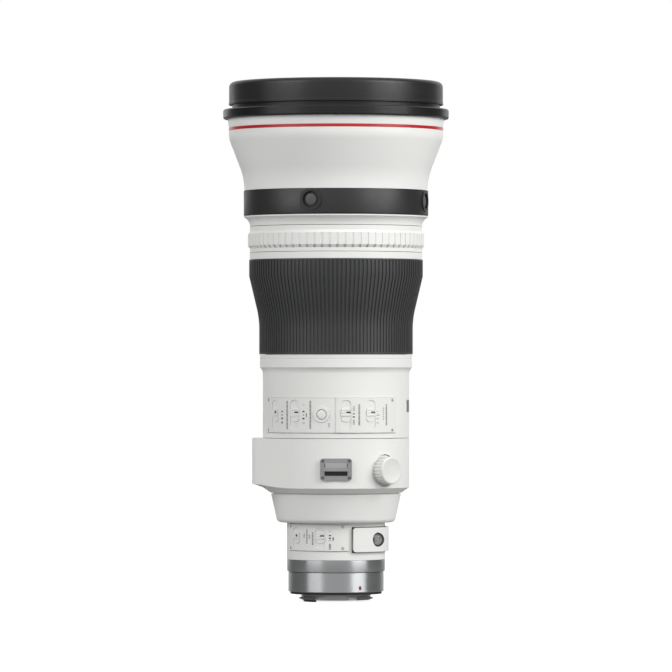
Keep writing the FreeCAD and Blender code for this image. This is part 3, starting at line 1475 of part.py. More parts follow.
# Button band: a ring with raised surrounds, each with a well for its button
def make_button_band():
    band = ring("band_turned", "band_floor + seat_gap", "band_radius", "band_low", "band_top")
    bosses, wells = [], []
    for i, azimuth in enumerate(band_azimuths()):
        bosses.append(radial_rod(f"band_surround_{i + 1}", "band_surround_radius",
                                 "band_floor + band_thick / 2",
                                 "band_radius + band_surround_proud", azimuth,
                                 "band_button_height"))
        wells.append(radial_rod(f"band_well_{i + 1}", "band_well_radius", "band_floor - cut_over",
                                "band_radius + band_surround_proud + cut_over",
                                azimuth, "band_button_height"))
    keep(cut("band_cut", fuse("band_blank", band, *bosses), *wells), "button_band")


# Four round buttons with a foot flange that keeps them in their wells
def make_band_buttons():
    face = "band_radius + band_button_proud"
    for i, azimuth in enumerate(band_azimuths()):
        foot = radial_rod(f"button_foot_{i + 1}", "band_button_foot", "button_foot_low",
                          "button_foot_low + band_button_foot_thick", azimuth, "band_button_height")
        head = radial_rod(f"button_head_{i + 1}", "band_button_radius", "button_foot_low", face,
                          azimuth, "band_button_height")
        keep(fuse(f"button_joined_{i + 1}", foot, head), f"lens_button_{i + 1}")


# Black flange that the hood stops against
def make_hood_flange():
    keep(turned("hood_flange_turned", [
        ("front_neck_radius + seat_gap", "hood_flange_low"),
        ("hood_flange_radius - hood_flange_bevel", "hood_flange_low"),
        ("hood_flange_radius", "hood_flange_low + hood_flange_bevel"),
        ("hood_flange_radius", "hood_flange_top - hood_flange_bevel"),
        ("hood_flange_radius - hood_flange_bevel", "hood_flange_top"),
        ("front_neck_radius + seat_gap", "hood_flange_top"),
    ]), "hood_flange")


# Front ring: a groove for the hood's clamp and a rounded rim
def make_front_ring():
    keep(turned("front_ring_turned", [
        ("rim_bore", "hood_flange_top"),
        ("front_neck_radius", "hood_flange_top"),
        ("front_neck_radius", "rim_low"),
        ("rim_radius + rim_lip", "rim_low"),
        ("rim_radius + rim_lip", "rim_low + rim_lip_height"),
        ("rim_radius", "rim_low + rim_lip_height + rim_lip"),
        ("rim_radius", "rim_top - rim_round"),
        ("rim_radius - rim_round", "rim_top", "rim_round", 1),
        ("rim_bore", "rim_top - rim_bore_drop"),
    ]), "front_ring")


# Front glass and the ring that clamps it
def make_front_element():
    keep(lens_blank("front_blank", "front_glass_radius", "front_seat", "front_glass_top",
                    "-front_glass_hollow", "front_glass_bulge"), "front_element")
    outer = "front_neck_radius - front_neck_wall - seat_gap"
    keep(turned("retainer_turned", [
        ("front_glass_radius + running_gap", "front_glass_top"),
        (outer, "front_glass_top"),
        (outer, "front_glass_top + retainer_height"),
        ("front_glass_radius - retainer_lip", "front_glass_top + retainer_height"),
        ("front_glass_radius - retainer_lip", "front_glass_top + retainer_lip_step"),
        ("front_glass_radius + running_gap", "front_glass_top + retainer_lip_step"),
    ]), "front_retainer")


# Fixed ring of the focusing motor, with the rail that keeps the focusing cell from turning
def make_focus_motor():
    outer = "body_bore - seat_gap"
    stator = ring("stator_ring", f"{outer} - motor_width", outer, "motor_low", "tube_low")
    rail_out = f"{outer} - motor_width + rail_bite"
    rail = radial_block("guide_rail", "rail_width", "tube_low - iris_top - turn_gap",
                        f"{rail_out} - rail_depth", rail_out, "180", "iris_top + turn_gap")
    keep(fuse("motor_joined", stator, rail), "focus_motor")


# Turning cam ring with three helical slots
def make_drive_ring():
    body = turned("cam_body", [
        ("cam_inner", "cam_low"),
        ("cam_outer", "cam_low"),
        ("cam_outer", "cam_top"),
        ("cam_inner", "cam_top"),
    ])
    rise = "focus_travel / cam_angle"
    half = "(follower_radius + cam_slot_gap) * cam_slot_widening"
    start = f"follower_height - cam_slot_end_angle * ({rise})"
    slot_sketch = new_sketch(body, "cam_slot_outline", "XZ_Plane", [
        ("cam_inner - cut_over", f"{start} - {half}"),
        ("cam_outer + cut_over", f"{start} - {half}"),
        ("cam_outer + cut_over", f"{start} + {half}"),
        ("cam_inner - cut_over", f"{start} + {half}"),
    ])
    slot = body.newObject("PartDesign::SubtractiveHelix", "cam_slot")
    slot.Profile = slot_sketch
    slot.ReferenceAxis = (slot_sketch, ["V_Axis"])
    slot.Mode = 0
    bind(slot, "Pitch", f"360 * ({rise})")
    bind(slot, "Height", f"(cam_angle + 2 * cam_slot_end_angle) * ({rise})")
    pattern = body.newObject("PartDesign::PolarPattern", "cam_slots")
    pattern.Originals = [slot]
    pattern.Axis = (slot_sketch, ["V_Axis"])
    pattern.Angle = 360
    bind(pattern, "Occurrences", "follower_count")
    body.Tip = pattern
    keep(body, "drive_ring")


# Focusing cell with its three followers, and its glass
def make_focus_cell():
    bore = "focus_glass_radius + seat_gap"
    hub = f"{bore} + focus_cell_hub"
    rim = "cell_outer - focus_cell_rim"
    web_low, web_high = "follower_height - focus_cell_web / 2", "follower_height + focus_cell_web / 2"
    cell = turned("focus_cell_turned", [
        (bore, "cell_low"),
        (hub, "cell_low"),
        (hub, web_low),
        (rim, web_low),
        (rim, "cell_low"),
        ("cell_outer", "cell_low"),
        ("cell_outer", "cell_high"),
        (rim, "cell_high"),
        (rim, web_high),
        (hub, web_high),
        (hub, "cell_high"),
        (bore, "cell_high"),
    ])
    rail_out = "body_bore - seat_gap - motor_width + rail_bite"
    notch = radial_block("rail_notch", "rail_width + 2 * rail_gap", "focus_cell_height",
                         f"{rail_out} - rail_depth - rail_gap", f"{rail_out} + rail_gap",
                         "180", "cell_low")
    followers = [radial_rod(f"follower_{i + 1}", "follower_radius", rim, "cam_outer - seat_gap",
                            f"90 + cam_slot_end_angle + {i} * 360 / follower_count", "follower_height")
                 for i in range(int(value("follower_count")))]
    keep(fuse("focus_cell_joined", cut("focus_cell_cut", cell, notch), *followers), "focus_cell")
    edge_low = "(cell_low + cell_high - focus_glass_edge) / 2"
    keep(lens_blank("focus_glass", "focus_glass_radius", edge_low,
                    f"{edge_low} + focus_glass_edge", "-focus_glass_hollow",
                    "focus_glass_bulge"), "focus_elements")


# Iris: a flat housing with nine blades, open
def make_iris():
    outer = "body_bore - seat_gap"
    keep(turned("iris_turned", [
        ("iris_bore", "body_floor_top"),
        (outer, "body_floor_top"),
        (outer, "iris_top"),
        ("iris_bore", "iris_top"),
        ("iris_bore", "iris_top - iris_plate"),
        (f"{outer} - iris_wall", "iris_top - iris_plate"),
        (f"{outer} - iris_wall", "body_floor_top + iris_plate"),
        ("iris_bore", "body_floor_top + iris_plate"),
    ]), "iris_housing")
    blades = []
    for i in range(int(value("blade_count"))):
        low = f"body_floor_top + iris_plate + seat_gap + {i} * blade_pitch"
        middle = f"{i} * 360 / blade_count"
        blades.append(sector(f"iris_blade_{i + 1}", "iris_bore + blade_room",
                             f"{outer} - iris_wall - blade_room", low, f"{low} + blade_thick",
                             f"{middle} - blade_half_angle", f"{middle} + blade_half_angle"))
    keep(group("iris_blade_set", blades), "iris_blades")


# Stabiliser: a fixed frame, a carriage that slides along Y in it, and a lens cell that slides along X
def make_stabiliser():
    keep(turned("stabiliser_frame_turned", [
        ("stabiliser_bore", "stabiliser_low"),
        ("stabiliser_outer", "stabiliser_low"),
        ("stabiliser_outer", "stabiliser_low + stabiliser_height"),
        ("stabiliser_inner", "stabiliser_low + stabiliser_height"),
        ("stabiliser_inner", "stabiliser_low + stabiliser_plate"),
        ("stabiliser_bore", "stabiliser_low + stabiliser_plate"),
    ]), "stabiliser_frame")
    carriage_outer = "stabiliser_inner - stabiliser_room"
    keep(ring("carriage_turned", f"{carriage_outer} - carriage_width", carriage_outer,
              "carriage_low", "carriage_top"), "stabiliser_carriage")
    cell_radius = "stabiliser_inner - stabiliser_room - stabiliser_cell_step"
    cell_bore = f"{cell_radius} - stabiliser_cell_wall"
    keep(ring("stabiliser_cell_turned", cell_bore, cell_radius, "stabiliser_cell_low",
              "stabiliser_cell_low + stabiliser_cell_height"), "stabiliser_cell")
    glass_high = "stabiliser_cell_low + stabiliser_cell_height - stabiliser_glass_high_step"
    keep(lens_blank("stabiliser_glass", f"{cell_bore} - seat_gap",
                    "stabiliser_cell_low + stabiliser_glass_low_step", glass_high,
                    "-stabiliser_glass_hollow", "-stabiliser_glass_front_hollow"),
         "stabiliser_elements")


MAKERS = [
    make_bayonet, make_bayonet_screws, make_mount_seal, make_contacts, make_lower_mount_ring,
    make_upper_mount_ring, make_rear_barrel, make_filter_holder, make_filter_buttons,
    make_rear_cone, make_main_board, make_rear_cell, make_tripod_collar, make_strap_lugs,
    make_lock_knob, make_main_barrel, make_lock_slot, make_panels, make_switches,
    make_focus_ring, make_focus_grip, make_preset_ring, make_inner_tube, make_middle_group,
    make_front_barrel, make_button_band, make_band_buttons, make_hood_flange, make_front_ring,
    make_front_element, make_focus_motor, make_drive_ring, make_focus_cell, make_iris,
    make_stabiliser,
]

for maker in MAKERS:
    maker()
doc.recompute()

for item in doc.Objects:
    if "Invalid" in item.State or "Error" in item.State:
        raise RuntimeError(f"{item.Label} failed: {item.State}")
for piece in sub_parts:
    if piece.Shape.isNull() or not piece.Shape.isValid():
        raise RuntimeError(f"{piece.Label} has no valid shape")

os.makedirs("parts", exist_ok=True)
for piece in sub_parts:
    piece.Shape.exportStep(f"parts/{piece.Label}.step")
    print(f"{piece.Label}: {len(piece.Shape.Solids)} solids, {piece.Shape.Volume:.0f} mm3")
print(len(sub_parts), "sub-parts")
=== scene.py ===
import math

import bpy
from mathutils import Matrix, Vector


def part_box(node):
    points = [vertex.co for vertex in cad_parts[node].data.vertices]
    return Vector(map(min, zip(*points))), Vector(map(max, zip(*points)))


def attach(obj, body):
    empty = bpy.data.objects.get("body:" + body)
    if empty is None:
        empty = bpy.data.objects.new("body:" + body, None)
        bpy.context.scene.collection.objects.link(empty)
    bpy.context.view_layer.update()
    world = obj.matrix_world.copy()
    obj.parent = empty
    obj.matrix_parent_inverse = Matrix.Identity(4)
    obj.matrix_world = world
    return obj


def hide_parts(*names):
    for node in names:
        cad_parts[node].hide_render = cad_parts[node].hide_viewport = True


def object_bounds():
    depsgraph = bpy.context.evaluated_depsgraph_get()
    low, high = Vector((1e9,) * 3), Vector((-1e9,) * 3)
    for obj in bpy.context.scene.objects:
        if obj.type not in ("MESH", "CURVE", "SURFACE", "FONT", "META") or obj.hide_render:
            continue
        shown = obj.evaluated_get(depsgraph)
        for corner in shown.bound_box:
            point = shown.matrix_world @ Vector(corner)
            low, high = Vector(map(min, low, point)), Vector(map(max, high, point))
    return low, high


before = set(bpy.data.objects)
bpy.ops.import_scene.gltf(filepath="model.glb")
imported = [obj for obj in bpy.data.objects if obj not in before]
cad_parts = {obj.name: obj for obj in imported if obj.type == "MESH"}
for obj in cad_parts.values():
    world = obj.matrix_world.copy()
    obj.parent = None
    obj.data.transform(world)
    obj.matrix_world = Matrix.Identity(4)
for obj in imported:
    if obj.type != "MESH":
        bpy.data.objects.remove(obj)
box_at_start = [list(corner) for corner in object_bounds()]
bpy.ops.object.select_all(action="DESELECT")
scene = bpy.context.scene

# Main barrel: the magnesium casting that everything else is screwed to. It is turned, milled out
# where the switch panels sit, and finished in a warm white heat-shielding enamel.
MM = 0.001
FULL_TURN = 240


def span(node):
    """Lowest and highest point and outside radius of a turned frame piece, in millimetres."""
    low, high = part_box(node)
    return low.z / MM, high.z / MM, (high.x - low.x) / 2 / MM


def arc(start, end, bulge, steps=8):
    """Points of a round stretch between two (radius, height) points, swelling out by a bulge."""
    run, rise = end[0] - start[0], end[1] - start[1]
    chord = math.hypot(run, rise)
    size = (chord ** 2 / 4 + bulge ** 2) / (2 * bulge)
    half = math.asin(min(1.0, chord / 2 / abs(size)))
    out = (rise / chord, -run / chord)
    along = (run / chord, rise / chord)
    centre = [(a + b) / 2 - o * (size - bulge) for a, b, o in zip(start, end, out)]
    points = []
    for step in range(1, steps + 1):
        turn = half * (2 * step / steps - 1)
        points.append(tuple(
            c + size * math.cos(turn) * o + abs(size) * math.sin(turn) * a
            for c, o, a in zip(centre, out, along)
        ))
    return points


def select_only(*pieces):
    bpy.ops.object.select_all(action="DESELECT")
    for piece in pieces:
        piece.select_set(True)
    bpy.context.view_layer.objects.active = pieces[0]


def edit(piece, faces="DESELECT", mode="FACE"):
    """Opens a piece in edit mode with everything or nothing selected."""
    select_only(piece)
    bpy.ops.object.mode_set(mode="EDIT")
    bpy.ops.mesh.select_mode(type=mode)
    bpy.ops.mesh.select_all(action=faces)


def close_edit():
    bpy.ops.object.mode_set(mode="OBJECT")
    bpy.ops.object.select_all(action="DESELECT")


def widen(share):
    """Scales what is selected to or from the lens axis."""
    bpy.ops.transform.resize(value=(share, share, 1), center_override=(0, 0, 0))


def turned(name, stations, steps=FULL_TURN, closed=True):
    """A circle drawn out along the lens axis from station to station (radius, height), as on a lathe."""
    radius, height = stations[0]
    bpy.ops.mesh.primitive_circle_add(vertices=steps, radius=radius * MM, location=(0, 0, height * MM))
    piece = bpy.context.object
    piece.name = name
    bpy.ops.object.transform_apply(location=True)
    edit(piece, "SELECT", "EDGE")
    for next_radius, next_height in stations[1:] + (stations[:1] if closed else []):
        rise = (next_height - height) * MM
        bpy.ops.mesh.extrude_edges_move(TRANSFORM_OT_translate={"value": (0, 0, rise)})
        widen(next_radius / radius)
        radius, height = next_radius, next_height
    bpy.ops.mesh.select_all(action="SELECT")
    bpy.ops.mesh.remove_doubles(threshold=1e-6)
    if not closed:
        bpy.ops.mesh.fill_holes(sides=0)
    bpy.ops.mesh.normals_make_consistent(inside=False)
    close_edit()
    return piece


def pick_faces(piece, wanted):
    """Selects, in edit mode, the faces whose centre and normal pass a test."""
    bpy.ops.mesh.select_all(action="DESELECT")
    bpy.ops.object.mode_set(mode="OBJECT")
    for face in piece.data.polygons:
        face.select = wanted(face.center / MM, face.normal)
    bpy.ops.object.mode_set(mode="EDIT")


def azimuth_of(point):
    """Degrees round from the side that faces the camera, growing towards +X."""
    return math.degrees(math.atan2(point.x, -point.y))


def radius_of(point):
    return math.hypot(point.x, point.y)


def slice_at(point, normal):
    """Cuts new edges round the open piece where a plane crosses it."""
    bpy.ops.mesh.select_all(action="SELECT")
    bpy.ops.mesh.bisect(plane_co=[c * MM for c in point], plane_no=normal)


def press_in(share):
    """Presses the selected faces in towards the lens axis, with walls round them."""
    bpy.ops.mesh.extrude_region_move()
    widen(share)


def sink_patch(piece, start, end, low, high, floor, outside):
    """Presses a patch of a turned wall, between two azimuths and two heights, in to a floor radius."""
    edit(piece)
    for height in (low, high):
        slice_at((0, 0, height), (0, 0, 1))

    def in_wall(centre, normal):
        outward = normal.x * centre.x + normal.y * centre.y > 0
        return outward and low < centre.z < high and radius_of(centre) > floor

    for turn in (start, end):
        across = math.radians(turn)
        pick_faces(piece, lambda c, n: in_wall(c, n) and abs(azimuth_of(c) - turn) < 360 / FULL_TURN)
        bpy.ops.mesh.bisect(plane_co=(0, 0, 0), plane_no=(math.cos(across), math.sin(across), 0))
    pick_faces(piece, lambda c, n: in_wall(c, n) and start < azimuth_of(c) < end)
    press_in(floor / outside)
    close_edit()


def ease_edges(piece, width, segments=2, angle=28):
    """Rounds every edge sharper than an angle, and shades the rest smooth."""
    select_only(piece)
    bpy.ops.object.shade_smooth()
    bpy.ops.object.modifier_add(type="BEVEL")
    bevel = piece.modifiers[-1]
    bevel.width = width * MM
    bevel.segments = segments
    bevel.limit_method = "ANGLE"
    bevel.angle_limit = math.radians(angle)
    bevel.harden_normals = True
    bpy.ops.object.modifier_apply(modifier=bevel.name)
    bpy.ops.object.select_all(action="DESELECT")
    return piece


def feed(tree, node, sockets):
    """Sets each named socket of a node to a value, or links another node's output to it."""
    for name, source in sockets.items():
        if isinstance(source, bpy.types.NodeSocket):
            tree.links.new(source, node.inputs[name])
        else:
            node.inputs[name].default_value = source


def add_node(tree, kind, sockets=None, **settings):
    made = tree.nodes.new(kind)
    for name, setting in settings.items():
        setattr(made, name, setting)
    feed(tree, made, sockets or {})
    return made


def new_finish(name, colour, roughness, metallic=0.0):
    """A material with one Principled shader, and its node tree."""
    material = bpy.data.materials.new(name)
    material.use_nodes = True
    tree = material.node_tree
    shader = tree.nodes["Principled BSDF"]
    feed(tree, shader, {"Base Color": (*colour, 1), "Roughness": roughness, "Metallic": metallic})
    return material, tree, shader


def noise(tree, scale, detail=3.0, stretch=(1, 1, 1)):
    """A noise pattern fixed to the piece, finer as the scale grows."""
    place = add_node(tree, "ShaderNodeTexCoord")
    mapping = add_node(tree, "ShaderNodeMapping", {"Vector": place.outputs["Object"], "Scale": stretch})
    pattern = add_node(tree, "ShaderNodeTexNoise", {
        "Vector": mapping.outputs["Vector"], "Scale": scale, "Detail": detail,
    })
    return pattern.outputs["Fac"]


def spread(tree, factor, low, high):
    """Maps the middle of a pattern's range to a range of values."""
    ranged = add_node(tree, "ShaderNodeMapRange", {
        "Value": factor, "From Min": 0.3, "From Max": 0.7, "To Min": low, "To Max": high,
    })
    return ranged.outputs["Result"]


def tint(tree, shader, factor, dark, light):
    """Lets the colour wander between two close shades."""
    mix = add_node(tree, "ShaderNodeMix", {"Factor": factor, "A": (*dark, 1), "B": (*light, 1)},
                   data_type="RGBA")
    feed(tree, shader, {"Base Color": mix.outputs["Result"]})


def raise_grain(tree, shader, factor, strength, depth):
    """A fine relief on the surface, depth in millimetres."""
    bump = add_node(tree, "ShaderNodeBump", {"Height": factor, "Strength": strength, "Distance": depth * MM})
    feed(tree, shader, {"Normal": bump.outputs["Normal"]})


def coating(name, colour, roughness, grain_size=1600, grain=0.25, wander=0.03, shine=0.5):
    """Sprayed or moulded surface: a fine grain, and colour and gloss that wander a little."""
    material, tree, shader = new_finish(name, colour, roughness)
    tint(tree, shader, noise(tree, 22, 4), [c * (1 - wander) for c in colour],
         [min(1, c * (1 + wander)) for c in colour])
    gloss = spread(tree, noise(tree, 60, 3), roughness - 0.05, roughness + 0.06)
    feed(tree, shader, {"Roughness": gloss, "Specular IOR Level": shine})
    raise_grain(tree, shader, noise(tree, grain_size, 2), grain, 0.02)
    return material


def dress(piece, material):
    """Gives a piece one material in all its slots."""
    if not piece.data.materials:
        piece.data.materials.append(material)
    for place in range(len(piece.data.materials)):
        piece.data.materials[place] = material


def stands_for(piece, body, slot, material, *nodes):
    """Seats a finished piece: its body, its finish, and the frame nodes that it replaces."""
    dress(piece, material)
    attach(piece, body)
    if nodes:
        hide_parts(*nodes)
    return piece


white_enamel = coating("white_enamel", (0.79, 0.79, 0.77), 0.42)
barrel_low, barrel_high, shoulder_radius = span("main_barrel")
_, collar_high, _ = span("tripod_collar")
panel_low, panel_high, _ = span("left_panel")
body_radius = 52.76
body_low = collar_high + 0.3
shoulder_low = body_low + 46.0
shoulder_high = shoulder_low + 4.6
joint_height, joint_depth, joint_half = barrel_high - 3.0, 0.35, 0.3
tail_radius, tail_bore, tail_floor = 45.6, 42.8, body_low + 2.8
body_bore, mouth_bore, mouth_floor = 49.36, 50.53, barrel_high - 9.5
main_barrel = turned("barrel_casting", [
    (tail_radius, barrel_low), (tail_radius, body_low), (body_radius, body_low),
    (body_radius, shoulder_low),
    *arc((body_radius, shoulder_low), (shoulder_radius, shoulder_high), -0.55),
    (shoulder_radius, joint_height - joint_half), (shoulder_radius - joint_depth, joint_height),
    (shoulder_radius, joint_height + joint_half), (shoulder_radius, barrel_high),
    (mouth_bore, barrel_high), (mouth_bore, mouth_floor), (body_bore, mouth_floor),
    (body_bore, tail_floor), (tail_bore, tail_floor), (tail_bore, barrel_low),
])
panel_start, panel_joint, panel_end, panel_floor, panel_gap = -69.0, 0.05, 53.5, 51.6, 0.15
sink_patch(main_barrel, panel_start - panel_gap, panel_end + panel_gap, panel_low - 0.5, panel_high + 0.1,
           panel_floor, body_radius)
lock_azimuth, lock_half_angle, lock_floor = 79.0, 4.95, 50.86
lock_low, lock_tall = body_low + 18.4, 8.8
sink_patch(main_barrel, lock_azimuth - lock_half_angle, lock_azimuth + lock_half_angle, lock_low,
           lock_low + lock_tall, lock_floor, body_radius)
stands_for(ease_edges(main_barrel, 0.22), "barrel", "white_enamel", white_enamel, "main_barrel")

# Works inside the barrel: cells, baffles and the iris are aluminium anodised a dull black and turned
# with fine threads against stray light. Cams are left bright, and the glass has a thin coating.
baffle_black, tree, shader = new_finish("baffle_black", (0.018, 0.018, 0.019), 0.62, 0.35)
raise_grain(tree, shader, noise(tree, 60, 2, (0.2, 0.2, 40)), 0.8, 0.12)
feed(tree, shader, {"Roughness": spread(tree, noise(tree, 90, 3), 0.52, 0.72)})
bright_alloy, tree, shader = new_finish("bright_alloy", (0.56, 0.57, 0.58), 0.33, 1.0)
raise_grain(tree, shader, noise(tree, 90, 2, (0.3, 0.3, 20)), 0.35, 0.03)
tint(tree, shader, noise(tree, 40, 4), (0.52, 0.53, 0.54), (0.6, 0.61, 0.62))
board_green, tree, shader = new_finish("board_green", (0.02, 0.16, 0.07), 0.35)
board_place = add_node(tree, "ShaderNodeTexCoord")
tracks = add_node(tree, "ShaderNodeTexVoronoi", {"Vector": board_place.outputs["Object"], "Scale": 160},
                  feature="DISTANCE_TO_EDGE")
tint(tree, shader, spread(tree, tracks.outputs["Distance"], 1.0, 0.0), (0.015, 0.12, 0.05),
     (0.05, 0.24, 0.1))
coated_glass, tree, shader = new_finish("coated_glass", (0.97, 0.99, 0.98), 0.0)
feed(tree, shader, {
    "Transmission Weight": 1.0, "IOR": 1.52, "Thin Film Thickness": 520, "Thin Film IOR": 1.38,
})
tint(tree, shader, noise(tree, 12, 2), (0.96, 0.985, 0.975), (0.98, 0.995, 0.985))


def clouded(name, roughness, metallic, dark, colour, light, cloud_size, detail=3):
    """A plain finish whose shade wanders between two close ones."""
    material, tree, shader = new_finish(name, colour, roughness, metallic)
    tint(tree, shader, noise(tree, cloud_size, detail), dark, light)
    return material


blade_steel = clouded("blade_steel", 0.38, 0.8, (0.042, 0.042, 0.047), (0.05, 0.05, 0.055),
                      (0.06, 0.06, 0.066), 70, 4)


def dress_nodes(material, *nodes):
    """Gives frame pieces that stay as they are their real finish."""
    for node in nodes:
        dress(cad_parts[node], material)


dress_nodes(baffle_black, "rear_cell", "stabiliser_frame", "iris_housing", "inner_tube", "middle_cell",
            "focus_cell", "stabiliser_cell")
dress_nodes(blade_steel, "iris_blades")
dress_nodes(bright_alloy, "focus_motor", "drive_ring", "stabiliser_carriage")
dress_nodes(board_green, "main_board")
dress_nodes(coated_glass, "rear_elements", "middle_elements", "focus_elements", "stabiliser_elements",
            "filter_glass")

# Rear cone: a cast shell between the collar and the rear barrel, screwed up from behind, in the same
# white enamel. Its foot has a soft corner, and its floor carries the circuit board.
cone_low, cone_high, cone_radius = span("rear_cone")
cone_foot, cone_corner, cone_floor, cone_bore, cone_mouth = 43.0, 3.4, 2.3, 27.5, 42.0
open_joint, open_joint_depth, quarter_bulge = 0.7, 1.3, 0.29
rear_cone = turned("cone_casting", [
    (cone_bore, cone_low), (cone_foot - cone_corner, cone_low),
    *arc((cone_foot - cone_corner, cone_low), (cone_foot, cone_low + cone_corner),
         quarter_bulge * cone_corner),
    (cone_radius - 0.1, cone_high - open_joint), (cone_radius - open_joint_depth, cone_high - open_joint),
    (cone_radius - open_joint_depth, cone_high), (cone_mouth, cone_high), (cone_mouth, cone_high - 3.0),
    (cone_mouth + 2.0, cone_high - 4.0), (cone_foot - cone_floor, cone_low + 4.8),
    (cone_foot - cone_floor - 1.0, cone_low + cone_floor), (cone_bore, cone_low + cone_floor),
])
stands_for(ease_edges(rear_cone, 0.2), "barrel", "white_enamel", white_enamel, "rear_cone")

# Rear barrel: a turned aluminium sleeve in white enamel, cut out for the filter drawer and milled for
# the rear switch panel. Two webs inside guide the drawer.
rear_low, rear_high, rear_radius = span("rear_barrel")
rear_panel_low, rear_panel_high, _ = span("rear_panel")
rear_panel_start, rear_panel_end, rear_panel_floor = -69.4, 14.5, 34.4
slot_low, slot_high, slot_half_width = 33.3, 44.3, 26.5
rear_bore, web_bore, flange_bore, web, flange = 33.15, 24.5, 30.95, 1.5, 1.6
foot_radius, foot_high = rear_radius - 0.4, rear_low + 0.2
rear_barrel = turned("rear_sleeve", [
    (flange_bore, rear_low), (foot_radius, rear_low), (foot_radius, foot_high),
    (rear_radius, foot_high), (rear_radius, rear_high), (flange_bore, rear_high),
    (flange_bore, rear_high - flange), (rear_bore, rear_high - flange), (rear_bore, slot_high + web),
    (web_bore, slot_high + web), (web_bore, slot_high), (rear_bore, slot_high), (rear_bore, slot_low),
    (web_bore, slot_low), (web_bore, slot_low - web), (rear_bore, slot_low - web),
    (rear_bore, rear_low + flange), (flange_bore, rear_low + flange),
])
sink_patch(rear_barrel, rear_panel_start - panel_gap, rear_panel_end + panel_gap, rear_panel_low - 0.4,
           rear_panel_high + 0.1, rear_panel_floor, rear_radius)


def block(name, size, centre):
    """A cube drawn out to a size, as the start of a cutter or a small moulding."""
    bpy.ops.mesh.primitive_cube_add(size=1, location=[c * MM for c in centre],
                                    scale=[s * MM for s in size])
    piece = bpy.context.object
    piece.name = name
    bpy.ops.object.transform_apply()
    return piece


def carve(piece, tool, operation="DIFFERENCE"):
    """Cuts a tool out of a piece or joins it on, and clears the tool away."""
    select_only(piece)
    bpy.ops.object.modifier_add(type="BOOLEAN")
    cutting = piece.modifiers[-1]
    cutting.operation = operation
    cutting.object = tool
    cutting.solver = "EXACT"
    bpy.ops.object.modifier_apply(modifier=cutting.name)
    bpy.data.objects.remove(tool)
    bpy.ops.object.select_all(action="DESELECT")
    return piece


carve(rear_barrel, block("drawer_slot", (40, 2 * slot_half_width, slot_high - slot_low),
                         (20, 0, (slot_low + slot_high) / 2)))
stands_for(ease_edges(rear_barrel, 0.2), "barrel", "white_enamel", white_enamel, "rear_barrel")

# Mount: two turned rings in satin silver with a groove between them, a bright steel bayonet held by
# four screws, and a black rubber seal that keeps water out of the camera.


def turned_metal(name, colour, roughness):
    """Bare metal off the lathe: its fine turning lines draw highlights out into upright streaks."""
    material, tree, shader = new_finish(name, colour, roughness, 1.0)
    tint(tree, shader, noise(tree, 30, 3, (0.3, 0.3, 12)), [c * 0.97 for c in colour],
         [c * 1.03 for c in colour])
    gloss = spread(tree, noise(tree, 50, 3, (0.3, 0.3, 8)), roughness - 0.02, roughness + 0.03)
    lathe_lines = add_node(tree, "ShaderNodeTangent", direction_type="RADIAL", axis="Z")
    feed(tree, shader, {
        "Roughness": gloss, "Tangent": lathe_lines.outputs["Tangent"], "Anisotropic": 0.95,
        "Anisotropic Rotation": 0.25,
    })
    return material


silver_satin = turned_metal("silver_satin", (0.45, 0.46, 0.465), 0.36)
lower_low, lower_high, lower_radius = span("lower_mount_ring")
upper_low, upper_high, upper_radius = span("upper_mount_ring")
seal_low, seal_high, seal_radius = span("mount_seal")
throat, throat_low, throat_high, seal_seat, sleeve_bore = 26.6, 2.0, 9.5, 31.65, 30.96
groove_radius, groove_low = lower_radius - 1, lower_high - 0.5
lower_ring = turned("lower_ring", [
    (throat, throat_low), (seal_seat, throat_low), (seal_seat, lower_low), (lower_radius - 0.4, lower_low),
    (lower_radius, lower_low + 0.4), (lower_radius, groove_low), (groove_radius, groove_low),
    (groove_radius, lower_high), (sleeve_bore, lower_high), (sleeve_bore, throat_high),
    (throat, throat_high),
])
stands_for(ease_edges(lower_ring, 0.15), "barrel", "silver_ring", silver_satin, "lower_mount_ring")
upper_ring = turned("upper_ring", [
    (sleeve_bore, upper_low), (upper_radius - 0.4, upper_low), (upper_radius, upper_low + 0.8),
    (upper_radius, upper_high), (sleeve_bore, upper_high),
])
stands_for(ease_edges(upper_ring, 0.15), "barrel", "silver_ring", silver_satin, "upper_mount_ring")
seal_and_shade_black = coating("seal_and_shade_black", (0.01, 0.01, 0.0105), 0.6, 900, 0.4, 0.08)
seal = turned("rubber_seal", [
    (seal_seat, seal_low + 0.2), (32.1, seal_low), (seal_radius, seal_low), (seal_radius, seal_high),
    (seal_seat, seal_high),
])
stands_for(ease_edges(seal, 0.12), "barrel", "seal_rubber", seal_and_shade_black, "mount_seal")
mount_steel = turned_metal("mount_steel", (0.38, 0.38, 0.375), 0.3)


def merged(node):
    """A copy of a frame piece with its seams merged."""
    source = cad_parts[node]
    piece = bpy.data.objects.new(node + "_eased", source.data.copy())
    scene.collection.objects.link(piece)
    select_only(piece)
    bpy.ops.mesh.customdata_custom_splitnormals_clear()
    edit(piece, "SELECT", "VERT")
    bpy.ops.mesh.remove_doubles(threshold=2e-6)
    bpy.ops.mesh.dissolve_limited(angle_limit=math.radians(1))
    close_edit()
    return piece


def softened(node, width, segments=2, angle=35):
    """A merged copy of a frame piece with its sharp edges rounded."""
    return ease_edges(merged(node), width, segments, angle)


bayonet = softened("bayonet", 0.15)
stands_for(bayonet, "barrel", "mount_steel", mount_steel, "bayonet")
contact_and_shade_black = coating("contact_and_shade_black", (0.025, 0.025, 0.027), 0.4, 1200, 0.2, 0.05)
contact_block = softened("contact_block", 0.2)
stands_for(contact_block, "barrel", "black_plastic", contact_and_shade_black, "contact_block")
contact_gold = clouded("contact_gold", 0.22, 1.0, (0.78, 0.55, 0.2), (0.83, 0.6, 0.24),
                       (0.87, 0.65, 0.3), 300)
dress_nodes(contact_gold, "contact_pins")

